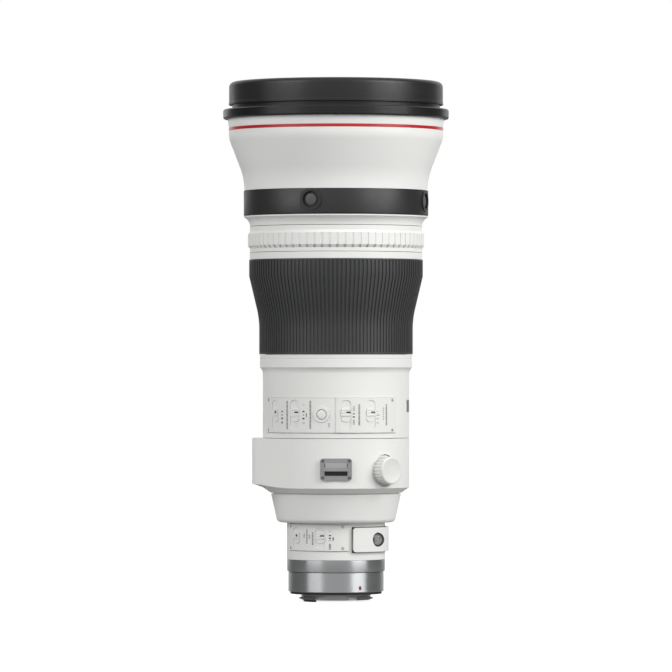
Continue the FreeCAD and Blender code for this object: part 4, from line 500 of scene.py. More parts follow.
# Screws: small countersunk steel screws with a cross recess, four in the bayonet, eight in the switch
# panels and eight in the strap bars. One is modelled at a head radius of 1 mm and copied.
screw_steel = clouded("screw_steel", 0.42, 0.9, (0.55, 0.55, 0.55), (0.6, 0.6, 0.6),
                      (0.65, 0.65, 0.65), 400)


def draw_out(rise):
    """Draws the selected faces out along Z."""
    bpy.ops.mesh.extrude_region_move(TRANSFORM_OT_translate={"value": (0, 0, rise * MM)})


def rod(name, radius, start, end, steps=48):
    """A round bar standing on the origin's +Z, from one distance to another."""
    bpy.ops.mesh.primitive_circle_add(vertices=steps, radius=radius * MM, fill_type="NGON",
                                      location=(0, 0, start * MM))
    piece = bpy.context.object
    piece.name = name
    bpy.ops.object.transform_apply()
    edit(piece, "SELECT")
    draw_out(end - start)
    bpy.ops.mesh.select_all(action="SELECT")
    bpy.ops.mesh.normals_make_consistent(inside=False)
    close_edit()
    return piece


def aim(piece, azimuth, height, across=0.0):
    """Turns a piece drawn facing +Z so that it faces outwards at an azimuth, and fixes its place."""
    stand_up = Matrix.Rotation(math.radians(90), 4, "X")
    shift = Matrix.Translation((across * MM, 0, height * MM))
    face_out = Matrix.Rotation(math.radians(azimuth), 4, "Z")
    piece.matrix_world = face_out @ shift @ stand_up @ piece.matrix_world
    select_only(piece)
    bpy.ops.object.transform_apply()
    return piece


def gathered(name, pieces):
    """Joins like pieces into one object."""
    select_only(*pieces)
    bpy.ops.object.join()
    piece = bpy.context.object
    piece.name = name
    bpy.ops.object.select_all(action="DESELECT")
    return piece


def shifted(piece, across, up):
    """Moves a piece drawn facing +Z sideways and up."""
    piece.location = (across * MM, up * MM, 0)
    select_only(piece)
    bpy.ops.object.transform_apply()
    return piece


def copy_of(piece):
    """A copy with its own mesh."""
    twin = bpy.data.objects.new(piece.name + "_copy", piece.data.copy())
    scene.collection.objects.link(twin)
    return twin


def spun(piece, turn):
    """Turns a piece about the Z axis by a number of degrees."""
    piece.rotation_euler = (0, 0, math.radians(turn))
    select_only(piece)
    bpy.ops.object.transform_apply()
    return piece


screw_head = rod("screw_pattern", 1.0, -1.4, 0.0, 32)
for turn in (20, 110):
    carve(screw_head, spun(block("cross_recess", (1.15, 0.3, 0.9), (0, 0, 0)), turn))
ease_edges(screw_head, 0.09, 2, 40)


def screw(radius, azimuth, height, face, across=0.0, turn=0.0):
    """One screw of the set, its head flush with a face at a distance from the axis."""
    twin = copy_of(screw_head)
    place = Matrix.Translation((0, 0, face * MM)) @ Matrix.Rotation(math.radians(turn), 4, "Z")
    twin.matrix_world = place @ Matrix.Diagonal((radius, radius, 1, 1))
    return aim(twin, azimuth, height, across)


left_face, right_face, rear_face = 53.16, 53.56, 36.15
screw_inset = 1.7
panel_screw_places = [
    (azimuth, height, face)
    for azimuth, low, high, face in (
        (-65.5, panel_low, panel_high, left_face), (48.8, panel_low, panel_high, right_face),
        (-64.0, rear_panel_low, rear_panel_high, rear_face),
        (7.6, rear_panel_low, rear_panel_high, rear_face),
    )
    for height in (low + screw_inset, high - screw_inset)
]
panel_screws = gathered("panel_screw_set", [
    screw(0.9, azimuth, height, face - 0.05, 0, 35 * number)
    for number, (azimuth, height, face) in enumerate(panel_screw_places)
])
stands_for(panel_screws, "barrel", "screw_steel", screw_steel, "panel_screws")
lug_height, lug_half_width, lug_half_height, lug_face = 89.5, 9.4, 5.95, 53.8
lug_screws = gathered("lug_screw_set", [
    screw(1.0, azimuth, lug_height + up * lug_half_height, lug_face - 0.3, side * lug_half_width,
          20 * side + 30 * up)
    for azimuth in (0, 180) for side in (-1, 1) for up in (-1, 1)
])
dark_steel = clouded("dark_steel", 0.4, 0.9, (0.17, 0.17, 0.17), (0.2, 0.2, 0.2),
                     (0.23, 0.23, 0.23), 400)
stands_for(lug_screws, "tripod_collar", "screw_steel", dark_steel, "lug_screws")
bpy.data.objects.remove(screw_head)
dress_nodes(screw_steel, "bayonet_screws")

# Filter drawer: a white enamelled cap, curved to the barrel, on a frame that carries a round glass.
# Two ribbed steel buttons at its corners are pinched to draw it out, and a thin black frame under
# its rim is painted shade that darkens the gap round the cap.


def pick_edges(piece, wanted):
    """Selects, in edit mode, the edges whose two ends pass a test."""
    bpy.ops.mesh.select_all(action="DESELECT")
    bpy.ops.object.mode_set(mode="OBJECT")
    for edge in piece.data.edges:
        first, second = (piece.data.vertices[i].co / MM for i in edge.vertices)
        edge.select = wanted(first, second)
    bpy.ops.object.mode_set(mode="EDIT")


def round_edges(piece, wanted, radius, segments):
    """Rounds the edges whose two ends pass a test."""
    edit(piece, mode="EDGE")
    pick_edges(piece, wanted)
    bpy.ops.mesh.bevel(offset=radius * MM, segments=segments, affect="EDGES")
    close_edit()
    return piece


def curved_plate(name, inner, outside, low, high, start, end, corner=1.2):
    """A sector of a turned ring between two azimuths, with rounded corners."""
    plate = turned(name, [(inner, low), (outside, low), (outside, high), (inner, high)], 360)
    for turn, side in ((start, "clear_inner"), (end, "clear_outer")):
        across = math.radians(turn)
        edit(plate, "SELECT")
        bpy.ops.mesh.bisect(plane_co=(0, 0, 0), plane_no=(math.cos(across), math.sin(across), 0),
                            use_fill=True, **{side: True})
        close_edit()

    def at_corner(a, b):
        radial = abs(radius_of(a) - radius_of(b)) > 0.1 and abs(a.z - b.z) < 0.01
        turn = azimuth_of(a)
        return radial and min(abs(turn - start), abs(turn - end)) < 0.01

    return round_edges(plate, at_corner, corner, 6)


def facing_up(centre, normal):
    return normal.z > 0.9


def inset_rings(rings):
    """Draws the selected flat face in ring by ring, each (width, rise) from the one before."""
    for width, rise in rings:
        bpy.ops.mesh.inset(thickness=width * MM)
        bpy.ops.transform.translate(value=(0, 0, rise * MM))


drawer_height, button_radius, button_face, button_length = 38.8, 3.6, 32.0, 3.8
pocket_radius, pocket_floor, button_rim_radius, button_rim_foot = 5.15, 29.5, 5.1, 26.0
pinch_places = ((22.6, 19.0), (157.4, -19.0))
drawer = merged("filter_holder")
for azimuth, across in pinch_places:
    carve(drawer, aim(rod("button_pocket", pocket_radius, pocket_floor, 40), azimuth, drawer_height,
                      across))
stands_for(ease_edges(drawer, 0.25, 3, 35), "filter_holder", "white_enamel", white_enamel, "filter_holder")
rim = carve(rod("button_rim", button_rim_radius, button_rim_foot, button_face + 0.3),
            rod("rim_bore", button_radius + 0.1, 25, 34))
ease_edges(rim, 0.1)
rims = gathered("pinch_button_rims", [aim(copy_of(rim), azimuth, drawer_height, across)
                                      for azimuth, across in pinch_places])
bpy.data.objects.remove(rim)
stands_for(rims, "filter_holder", "black_plastic", contact_and_shade_black)
# Painted shade: a thin black frame just under the cap's edge stands for the dark gap round it.
shade_frame_half_height, shade_frame_half_angle = 8.7 + 0.5, 70.5 + 0.8
shade_frame = curved_plate("cap_shade_frame", rear_radius + 0.05, rear_radius + 0.4,
                      drawer_height - shade_frame_half_height, drawer_height + shade_frame_half_height,
                      90 - shade_frame_half_angle, 90 + shade_frame_half_angle, 2.5)
stands_for(ease_edges(shade_frame, 0.08), "filter_holder", "seal_rubber", seal_and_shade_black)
button_steel = clouded("button_steel", 0.4, 0.6, (0.29, 0.29, 0.29), (0.32, 0.32, 0.32),
                       (0.35, 0.35, 0.35), 200)
pinch_button = rod("pinch_button", button_radius, button_face - button_length, button_face)
edit(pinch_button)
pick_faces(pinch_button, facing_up)
inset_rings([
    (0.4, 0.0), (0.15, -0.45), (0.45, 0.0), (0.15, 0.45),
    (0.5, 0.0), (0.15, -0.35), (0.35, 0.0), (0.15, 0.35),
])
close_edit()
ease_edges(pinch_button, 0.08)
for number, (azimuth, across) in enumerate(pinch_places, start=1):
    twin = aim(copy_of(pinch_button), azimuth, drawer_height, across)
    twin.name = f"pinch_button_{number}"
    stands_for(twin, f"filter_button_{number}", "lug_steel", button_steel, f"filter_button_{number}")
bpy.data.objects.remove(pinch_button)

# Tripod collar: a split-free cast ring that turns on the barrel, in white enamel, with a flat seat
# for the foot and a recess for a strap bar front and back.


def rounded_block(name, width, tall, start, end, corner):
    """A round-cornered block facing +Z, as wide as it is along X and as tall along Y."""
    piece = block(name, (width, tall, end - start), (0, 0, (start + end) / 2))
    return round_edges(piece, lambda a, b: abs(a.z - b.z) > 0.1, corner, 8)


collar = merged("tripod_collar")
lug_width, lug_tall, lug_corner, lug_floor = 22.6, 15.7, 2.4, lug_face - 3.4
pocket_gap, corner_margin = 0.3, 0.8
for azimuth in (0, 180):
    corners = block("pocket_corners", (lug_width + corner_margin, lug_tall + corner_margin, 3),
                    (0, 0, lug_floor + 1.3))
    carve(corners, rounded_block("pocket", lug_width + pocket_gap, lug_tall + pocket_gap, lug_floor - 3,
                                 lug_face + 3, lug_corner + pocket_gap / 2))
    aim(corners, azimuth, lug_height)
    carve(corners, rod("outside", body_radius - 0.01, lug_height - 20, lug_height + 20, FULL_TURN),
          "INTERSECT")
    carve(collar, corners, "UNION")
stands_for(ease_edges(collar, 0.3), "tripod_collar", "white_enamel", white_enamel, "tripod_collar")

# Strap bars: cast plates let into the collar front and back, each held by four screws in counterbores.
# A broad bar bridges the window, and a thin black sheet beneath it is painted shadow for the dark slot.
lug_grey = clouded("lug_grey", 0.36, 0.7, (0.34, 0.34, 0.34), (0.36, 0.36, 0.36), (0.38, 0.38, 0.38), 120)
lug = rounded_block("strap_lug", lug_width, lug_tall, lug_floor + 0.02, lug_face, lug_corner)
carve(lug, rounded_block("lug_window", 16.4, 9.0, lug_floor - 1, lug_face + 1, 0.6))
for side in (-1, 1):
    for up in (-1, 1):
        carve(lug, shifted(rod("counterbore", 1.45, lug_face - 0.8, lug_face + 1, 24),
                           side * lug_half_width, up * lug_half_height))
bar_foot, bar_top, post_top, bar_round = lug_face - 1.6, lug_face + 1.2, lug_face + 1.7, 1.1
bar = shifted(rounded_block("lug_bar", 15.6, 6.2, bar_foot, bar_top, 0.5), 0, 1.8)
round_edges(bar, lambda a, b: min(a.z, b.z) > bar_top - 0.1 and abs(a.y - b.y) < 0.01, bar_round, 5)
edit(bar, mode="EDGE")
pick_edges(bar, lambda a, b: min(a.z, b.z) > lug_face and max(a.y, b.y) < 0)
bpy.ops.transform.translate(value=(0, 0.3 * MM, 0.5 * MM))
close_edit()
carve(lug, bar, "UNION")
carve(lug, shifted(rounded_block("lug_posts", 18.6, 2.6, bar_foot, post_top, 0.8), 0, 0.1), "UNION")
ease_edges(lug, 0.22)
lugs = gathered("strap_lug_pair", [aim(copy_of(lug), azimuth, lug_height) for azimuth in (0, 180)])
bpy.data.objects.remove(lug)
stands_for(lugs, "tripod_collar", "lug_steel", lug_grey, "strap_lugs")
# Painted shadow: a thin black sheet on each window's floor darkens the slot under the bar.
lug_slot_shade = gathered("strap_lug_slot_shade", [
    aim(block("lug_slot_shade", (17.0, 9.6, 0.3), (0, 0, lug_floor + 0.2)), azimuth, lug_height)
    for azimuth in (0, 180)
])
stands_for(ease_edges(lug_slot_shade, 0.05), "tripod_collar", "seal_rubber", contact_and_shade_black)

# Clamp knob: moulded in pale plastic on a steel screw that tightens the collar. Its side is fluted for
# grip and its flat end is slightly dished.
knob_plastic = coating("knob_plastic", (0.73, 0.73, 0.71), 0.45, 1300, 0.3)
knob_azimuth, knob_height = 41.5, 88.7
knob_radius, knob_foot, knob_seat, knob_tip = 9.9, 11.2, 49.8, 60.5
knob_skirt, knob_corner, screw_radius = knob_seat + 1.8, 1.1, 3.0
flute_count, flute_steps, flute_share = 24, 6, 0.935
knob = turned("clamp_knob", [
    (screw_radius, knob_seat - 3.9), (screw_radius, knob_seat), (knob_foot, knob_seat),
    (knob_foot, knob_skirt - 0.5), (knob_foot - 0.5, knob_skirt), (knob_radius, knob_skirt),
    (knob_radius, knob_tip - knob_corner),
    *arc((knob_radius, knob_tip - knob_corner), (knob_radius - knob_corner, knob_tip), 0.32, 3),
    (knob_radius - 1.6, knob_tip), (knob_radius - 2.3, knob_tip - 0.35), (1.0, knob_tip - 0.2),
], flute_count * flute_steps, closed=False)
edit(knob)


def in_hollow(point, count, steps):
    """Whether a point is in the first two of the strips that each ridge round a ring is split into."""
    strip = 360 / (count * steps)
    return int(azimuth_of(point) % 360 / strip) % steps in (0, 1)


def on_flute(centre, normal):
    side = radius_of(centre) > knob_radius - 0.2 and knob_skirt < centre.z < knob_tip - knob_corner - 0.1
    return side and in_hollow(centre, flute_count, flute_steps)


pick_faces(knob, on_flute)
press_in(flute_share)
close_edit()
ease_edges(knob, 0.18)
aim(knob, knob_azimuth, knob_height)
stands_for(knob, "lock_knob", "panel_plastic", knob_plastic, "lock_knob")

# Switch panels: three curved plates moulded in pale plastic, screwed into recesses of the barrel, each
# with two round-ended windows that the slide switches travel in.
panel_plastic = coating("panel_plastic", (0.77, 0.77, 0.75), 0.4, 2200, 0.25)
left_panel = curved_plate("left_plate", panel_floor + 0.05, left_face, panel_low, panel_high,
                          panel_start, 0.0)
right_panel = curved_plate("right_plate", panel_floor + 0.05, right_face, panel_low, panel_high,
                           2 * panel_joint, panel_end)
rear_panel = curved_plate("rear_plate", rear_panel_floor + 0.05, rear_face, rear_panel_low,
                          rear_panel_high, rear_panel_start, rear_panel_end)
set_azimuth, set_height, set_radius, set_hole, set_boss = -11.1, 128.7, 3.3, 3.7, 5.4
carve(left_panel, aim(rod("set_boss", set_boss, left_face - 1.0, left_face + 0.7), set_azimuth,
                      set_height), "UNION")
carve(left_panel, aim(rod("set_hole", set_hole, left_face - 3, left_face + 2), set_azimuth, set_height))
window_depth, window_round, upper_window, rear_window = 0.55, 0.42, (7.5, 21.5, 117.5), (7.6, 14.8, 32.7)
windows = {
    "distance_switch": (left_panel, left_face, -55.0, *upper_window),
    "mode_switch": (left_panel, left_face, -33.7, *upper_window),
    "stabiliser_switch": (right_panel, right_face, 7.7, *upper_window),
    "stabiliser_mode_switch": (right_panel, right_face, 27.6, *upper_window),
    "focus_mode_switch": (rear_panel, rear_face, -51.7, *rear_window),
    "ring_switch": (rear_panel, rear_face, -18.2, *rear_window),
}
for plate, face, azimuth, width, tall, low in windows.values():
    window = rounded_block("window", width, tall, face - window_depth, face + 3, width * window_round)
    carve(plate, aim(window, azimuth, low + tall / 2))
for number, (azimuth, height, face) in enumerate(panel_screw_places):
    plate = (left_panel, right_panel, rear_panel, rear_panel)[number // 2]
    carve(plate, aim(rod("screw_hole", 1.1, face - 3, face + 1, 24), azimuth, height))
for plate, node in ((left_panel, "left_panel"), (right_panel, "right_panel"), (rear_panel, "rear_panel")):
    stands_for(ease_edges(plate, 0.14), "barrel", "panel_plastic", panel_plastic, node)

# Slide switches: six buttons moulded in pale plastic that ride in the windows. Each has a raised ridge
# for the thumb, with a black index bar painted on it.
switch_plastic = coating("switch_plastic", (0.78, 0.78, 0.77), 0.35, 2400, 0.2)
ink = coating("black_ink", (0.03, 0.03, 0.03), 0.55, 1500, 0.1, 0.1)


def painted_bar(width, tall, face, corner=0.2):
    """A thin rounded bar of paint, facing +Z."""
    return rounded_block("bar", width, tall, face, face + 0.03, min(corner, width / 2.1, tall / 2.1))


button_gap, ridge_rise, groove_depth = 0.4, 0.55, 0.25


def slide_switch(node, ridge, ridge_tall, mark_width, mark_tall, mark_across):
    """A switch's button in its window, with its ridge above the middle and its painted bar on the ridge."""
    _, face, azimuth, window_width, _, _ = windows[node]
    width = window_width - button_gap
    low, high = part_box(node)
    middle = (low.z + high.z) / 2 / MM
    tall = (high.z - low.z) / MM
    button_top = face - 0.1
    button = rounded_block(node + "_button", width, tall, face - 0.5, button_top, width * window_round)
    edit(button)
    lines = [ridge + ridge_tall * step / 8 - ridge_tall / 2 for step in range(9)]
    for line in lines:
        slice_at((0, line, 0), (0, 1, 0))
    pick_faces(button, lambda centre, normal: normal.z > 0.9 and lines[0] < centre.y < lines[-1])
    draw_out(ridge_rise)

    def in_groove(centre, normal):
        band = int((centre.y - lines[0]) / (ridge_tall / 8))
        return normal.z > 0.9 and centre.z > face and band in (2, 5) and lines[0] < centre.y < lines[-1]

    pick_faces(button, in_groove)
    draw_out(-groove_depth)
    close_edit()
    ease_edges(button, 0.12)
    aim(button, azimuth, middle)
    stands_for(button, node, "switch_plastic", switch_plastic, node)
    bar = painted_bar(mark_width, mark_tall, button_top + ridge_rise + 0.002)
    aim(shifted(bar, mark_across, ridge), azimuth, middle)
    bar.name = node + "_index"
    stands_for(bar, node, "black_plastic", ink)


slide_switch("distance_switch", 1.7, 5.2, 2.0, 1.5, 1.0)
for node in ("mode_switch", "stabiliser_switch", "stabiliser_mode_switch"):
    slide_switch(node, 1.7, 5.2, 3.2, 1.1, 1.7)
slide_switch("focus_mode_switch", 1.3, 4.4, 1.8, 1.4, 0.6)
slide_switch("ring_switch", 1.3, 4.4, 3.2, 1.0, 1.6)

# Set button: a small domed button moulded in pale plastic. It stands on a spring in the left panel's
# round boss, with a dark gap round it.
set_foot = 50.9
set_button = rod("set_button_cap", set_radius, set_foot, left_face + 0.35)
edit(set_button)
pick_faces(set_button, facing_up)
inset_rings([(0.4, 0.18), (0.7, 0.14), (1.0, 0.08)])
close_edit()
ease_edges(set_button, 0.12)
aim(set_button, set_azimuth, set_height)
stands_for(set_button, "set_button", "switch_plastic", switch_plastic, "set_button")

# Panel marks: dots, ticks, plain numbers and ON and OFF, printed in black beside each switch and read
# with the lens lying on its side.


def painted_word(words, size, face):
    """Flat printed lettering facing +Z that reads upwards."""
    bpy.ops.object.text_add()
    text = bpy.context.object
    text.data.body = words
    text.data.size = size * MM
    text.data.align_x = "CENTER"
    text.data.align_y = "CENTER"
    select_only(text)
    bpy.ops.object.convert(target="MESH")
    text.matrix_world = Matrix.Translation((0, 0, face * MM)) @ Matrix.Rotation(math.radians(90), 4, "Z")
    return text


def print_marks(name, face, words, bars):
    pieces = [aim(painted_word(text, size, face + 0.04), azimuth, height)
              for text, size, azimuth, height in words]
    pieces += [aim(painted_bar(width, tall, face + 0.02), azimuth, height)
               for width, tall, azimuth, height in bars]
    marks = gathered(name, pieces)
    stands_for(marks, "barrel", "black_plastic", ink)


def tick_column(azimuth, low, high, count, width=1.3, tall=0.5):
    """A column of even ticks from one height to another."""
    return [(width, tall, azimuth, low + (high - low) * step / (count - 1)) for step in range(count)]


print_marks("left_panel_marks", left_face, [
    ("1", 2.3, -25.7, 135.6), ("2", 2.3, -25.7, 122.6),
    ("ON", 2.0, -5.3, 121.0),
], [
    (1.7, 0.9, -46.4, 130.8), (1.9, 0.5, -46.4, 128.3), (1.7, 1.1, -46.4, 125.9), (1.3, 1.3, -46.4, 122.9),
    *tick_column(-41.0, 118.6, 138.0, 22),
    (1.7, 1.0, -25.9, 130.8), (1.3, 0.5, -25.9, 128.3), (1.7, 1.0, -25.9, 125.8),
    (0.5, 2.9, -23.4, 128.3),
    *tick_column(-20.1, 119.0, 138.2, 21),
])
print_marks("right_panel_marks", right_face, [
    ("ON", 2.2, 13.9, 132.8), ("OFF", 2.2, 13.9, 123.3),
    ("1", 2.3, 33.6, 130.8), ("2", 2.3, 33.6, 125.7), ("3", 2.3, 33.6, 122.6),
], [
    (1.5, 0.6, 13.7, 129.2), (1.5, 0.9, 13.7, 127.0), (2.3, 0.45, 34.2, 128.3),
    *tick_column(18.0, 121.3, 135.6, 17),
    *tick_column(42.2, 121.3, 135.6, 17), *tick_column(39.2, 125.4, 133.2, 6, 0.9),
])
print_marks("rear_panel_marks", rear_face, [
    ("ON", 2.0, -38.9, 41.7), ("OFF", 2.0, -31.5, 41.0), ("1", 2.2, -6.9, 45.1), ("2", 2.2, -6.9, 38.4),
], [
    *tick_column(-35.2, 36.5, 46.0, 10, 1.2), *tick_column(-27.6, 35.5, 44.0, 10, 1.2),
    (1.6, 0.9, -6.9, 42.0), (1.6, 0.9, -6.9, 40.1), (0.8, 2.2, -3.2, 39.6),
    *tick_column(-6.9, 32.4, 35.8, 5, 1.4),
])

# Security slot: a grey insert, cast in zinc, that a lock cable hooks into. It is pressed into a recess
# in the barrel's right side.
slot_grey = clouded("slot_grey", 0.4, 0.6, (0.27, 0.27, 0.275), (0.3, 0.3, 0.305), (0.33, 0.33, 0.335),
                    150)
lock_slot = softened("lock_slot", 0.15)
stands_for(lock_slot, "barrel", "black_plastic", slot_grey, "lock_slot")

# Focus ring: a turned sleeve whose white lip shows in front, wrapped in a black rubber grip moulded
# with fine upright ribs that stop just short of its ends.
grip_low, grip_high, _ = span("focus_ring")
grip_foot, grip_bend, grip_top, lip_radius = 55.38, 57.03, 62.63, 62.2
grip_end, bend_low, bend_high, flare_high = 239.9, grip_low + 18.0, grip_low + 32.5, 227.9
sleeve_inset, bore_inset, ring_bore = 1.6, 3.0, 59.6
focus_sleeve = turned("focus_sleeve", [
    (grip_foot - bore_inset, grip_low), (grip_foot - sleeve_inset, grip_low),
    (grip_foot - sleeve_inset, bend_low), (grip_bend - sleeve_inset, bend_high),
    (grip_top - sleeve_inset, flare_high), (grip_top - sleeve_inset, grip_end), (lip_radius, grip_end),
    (lip_radius, grip_high), (ring_bore, grip_high), (ring_bore, flare_high),
    (grip_bend - bore_inset, bend_high), (grip_foot - bore_inset, bend_low),
])
stands_for(ease_edges(focus_sleeve, 0.25), "focus_ring", "white_enamel", white_enamel, "focus_ring")
rib_count, rib_steps, rib_share, rib_low, rib_high = 128, 4, 0.9885, grip_low + 1.2, grip_end - 1.2
rubber = 1.5
grip = turned("focus_grip_rubber", [
    (grip_foot - rubber, grip_low), (grip_foot, grip_low), (grip_foot, rib_low), (grip_foot, bend_low),
    *arc((grip_foot, bend_low), (grip_bend, bend_high), -0.42, 6), (grip_top, flare_high),
    (grip_top, rib_high), (grip_top, grip_end), (grip_top - rubber, grip_end),
    (grip_top - rubber, flare_high), (grip_bend - rubber, bend_high), (grip_foot - rubber, bend_low),
], rib_count * rib_steps)
edit(grip)


def between_ribs(centre, normal):
    outside = normal.x * centre.x + normal.y * centre.y > 0
    return outside and rib_low < centre.z < rib_high and in_hollow(centre, rib_count, rib_steps)


pick_faces(grip, between_ribs)
press_in(rib_share)
close_edit()
ease_edges(grip, 0.16, 1, 40)
grip_rubber = coating("grip_rubber", (0.037, 0.038, 0.038), 0.5, 900, 0.5, 0.1)
stands_for(grip, "focus_ring", "grip_rubber", grip_rubber, "focus_grip")

# Preset ring: a white enamelled ring with a band of raised pads round its middle, so that a thumb can
# turn it a few degrees against its spring. Each shallow groove between two pads ends below in a pit.
ring_low, ring_high, _ = span("preset_ring")
ring_radius, pad_radius, pad_low, pad_high, pad_slope = 62.1, 63.5, ring_low + 2.7, ring_low + 15.2, 2.08
pad_count, pad_steps, groove_share, pit_share = 72, 6, 0.9935, 0.981
preset_ring = turned("preset_ring_body", [
    (ring_bore, ring_low), (ring_radius, ring_low), (ring_radius, pad_low),
    (pad_radius, pad_low + pad_slope), (pad_radius, pad_high - pad_slope), (ring_radius, pad_high),
    (ring_radius, ring_high), (ring_bore, ring_high),
], pad_count * pad_steps)
edit(preset_ring)


def between_pads(centre, normal, top):
    outside = (normal.x * centre.x + normal.y * centre.y) / radius_of(centre) > 0.5
    return outside and pad_low < centre.z < top and in_hollow(centre, pad_count, pad_steps)


for top, share in ((pad_high - pad_slope, groove_share), (pad_low + pad_slope, pit_share)):
    pick_faces(preset_ring, lambda centre, normal: between_pads(centre, normal, top))
    press_in(share)
close_edit()
stands_for(ease_edges(preset_ring, 0.1, 2, 24), "preset_ring", "white_enamel", white_enamel, "preset_ring")

# Front barrel: the big casting that flares out to the front glass, in white enamel. It carries the
# black button band round its neck and the red ring under its lip.
band_low, band_high, band_radius = span("button_band")
flange_low, flange_high, flange_radius = span("hood_flange")
trim_low, trim_solid_high, trim_radius = span("trim_ring")
trim_high, trim_seat = trim_solid_high + 0.75, 76.6
neck_low, neck_bend, neck_radius, band_seat = ring_high + 0.3, ring_high + 6.6, 66.3, 64.05
spigot_low, spigot_radius, spigot_bore, neck_bore = 268.0, 59.55, 57.0, 61.05
bell_low, bell_high, bell_radius = 305.71, 325.03, 77.3
lip_seat, flange_seat, hood_face, glass_seat, glass_stop = 77.8, 74.9, 73.4, 71.35, 69.0
front_barrel = turned("front_casting", [
    (spigot_bore, spigot_low), (spigot_radius, spigot_low), (spigot_radius, neck_low), (62.1, neck_low),
    *arc((62.1, neck_low), (65.95, neck_bend), -1.03), (neck_radius, neck_bend), (neck_radius, band_low),
    (band_seat, band_low), (band_seat, band_high), (66.1, band_high),
    *arc((66.1, band_high), (68.92, bell_low), -0.7), (76.34, bell_high),
    *arc((76.34, bell_high), (bell_radius, 330.5), 0.24, 5), (bell_radius, trim_low),
    (trim_seat, trim_low), (trim_seat, trim_high), (bell_radius, trim_high), (lip_seat, 339.3),
    (lip_seat, flange_low), (flange_seat, flange_low), (flange_seat, flange_high),
    (hood_face, flange_high), (hood_face, 344.0), (glass_seat, 344.0), (glass_seat, 334.0),
    (glass_stop, 334.0), (glass_stop, 331.0), (72.14, 322.03), (65.32, bell_low), (neck_bore, 290.7),
    (neck_bore, 271.0), (spigot_bore, 271.0),
])
stands_for(ease_edges(front_barrel, 0.25), "barrel", "white_enamel", white_enamel, "front_barrel")
ring_red, tree, shader = new_finish("ring_red", (0.46, 0.008, 0.01), 0.32)
tint(tree, shader, noise(tree, 40, 3), (0.42, 0.007, 0.009), (0.5, 0.01, 0.013))
feed(tree, shader, {"Coat Weight": 0.3, "Coat Roughness": 0.12})
trim_ring = turned("red_ring", [
    (trim_seat + 0.05, trim_low), (trim_radius, trim_low), (trim_radius, trim_high),
    (trim_seat + 0.05, trim_high),
])
stands_for(ease_edges(trim_ring, 0.1), "barrel", "red_enamel", ring_red, "trim_ring")

# Button band: a black moulded ring in the front barrel's neck, with four round buttons, each in a
# raised surround, that can be set to stop the focusing.
band_black = coating("band_black", (0.015, 0.0152, 0.0155), 0.42, 1400, 0.35, 0.08, shine=0.4)
band_bore, band_face, band_edge = band_seat + 0.05, band_radius - 0.1, band_radius - 0.35
stop_height, stop_radius, stop_skirt, stop_first = 281.7, 4.1, 5.65, -15.6
stop_foot, stop_rest, stop_rise, painted_shade_top = 65.1, 65.4, 0.6, 65.8
band = turned("band_ring", [
    (band_bore, band_low), (band_edge, band_low), (band_edge, band_low + 0.5),
    (band_face, band_low + 0.9), (band_face, band_high - 0.5),
    (band_edge, band_high), (band_bore, band_high),
])
for number in range(4):
    azimuth = stop_first + 90 * number
    carve(band, aim(rod("surround", 7.7, 65.0, band_radius + 0.4, 64), azimuth, stop_height), "UNION")
    carve(band, aim(rod("well", 5.8, 64.25, band_radius + 2, 64), azimuth, stop_height))
stands_for(ease_edges(band, 0.25), "barrel", "band_plastic", band_black, "button_band")
button_black = coating("button_black", (0.07, 0.07, 0.07), 0.5, 1800, 0.3, 0.08)
stop_button = rod("stop_button", stop_skirt, stop_foot, stop_rest)
edit(stop_button)
pick_faces(stop_button, facing_up)
bpy.ops.mesh.inset(thickness=(stop_skirt - stop_radius) * MM)
draw_out(stop_rise)
inset_rings([(0.5, 0.2), (1.2, 0.1), (1.6, 0.0), (0.3, 0.2)])
close_edit()
ease_edges(stop_button, 0.12)
# Painted shade: the button's foot and lower side, down in its well, take the near-black seal material for
# the dark gap round the button.
for face in stop_button.data.polygons:
    face.material_index = 1 if face.center.z < painted_shade_top * MM else 0
for number in range(1, 5):
    twin = aim(copy_of(stop_button), stop_first + 90 * (number - 1), stop_height)
    twin.name = f"stop_button_{number}"
    stands_for(twin, f"lens_button_{number}", "button_plastic", button_black, f"lens_button_{number}")
    twin.data.materials.append(seal_and_shade_black)
bpy.data.objects.remove(stop_button)

# Hood flange and front ring: black enamelled aluminium. The hood stops against the flange, clamps in
# the groove above it, and the rim in front is rounded over.
black_enamel = coating("black_enamel", (0.014, 0.014, 0.0145), 0.36, 1500, 0.3, 0.08, shine=0.35)
# The flange's black is a darker copy of the front ring's enamel: painted shade for the dark reflection
# across it. It is also a little glossier.
flange_shaded_black = coating("flange_shaded_black", (0.007, 0.007, 0.0075), 0.3, 1500, 0.3, 0.08, shine=0.35)
hood_bore, flange_chamfer = flange_seat + 0.05, 0.8
flange_ring = turned("flange_ring", [
    (hood_bore, flange_low), (flange_radius - flange_chamfer, flange_low),
    (flange_radius, flange_low + flange_chamfer), (flange_radius, flange_high - flange_chamfer),
    (flange_radius - flange_chamfer, flange_high), (hood_bore, flange_high),
])
stands_for(ease_edges(flange_ring, 0.2), "barrel", "black_enamel", flange_shaded_black, "hood_flange")
rim_low, rim_high, _ = span("front_ring")
rim_radius, rim_round, rim_bore = 77.13, 3.8, 72.6
clamp_radius, clamp_high, bead_radius, bead_high = 74.9, rim_low + 3.2, rim_radius + 0.2, rim_low + 5.0
front_ring = turned("front_rim", [
    (rim_bore, rim_low), (clamp_radius, rim_low), (clamp_radius, clamp_high), (bead_radius, clamp_high),
    (bead_radius, bead_high), (rim_radius, bead_high + 0.2), (rim_radius, rim_high - rim_round),
    *arc((rim_radius, rim_high - rim_round), (rim_radius - rim_round, rim_high), 0.293 * rim_round),
    (rim_bore, rim_high - 0.5),
])
stands_for(ease_edges(front_ring, 0.12), "barrel", "black_enamel", black_enamel, "front_ring")

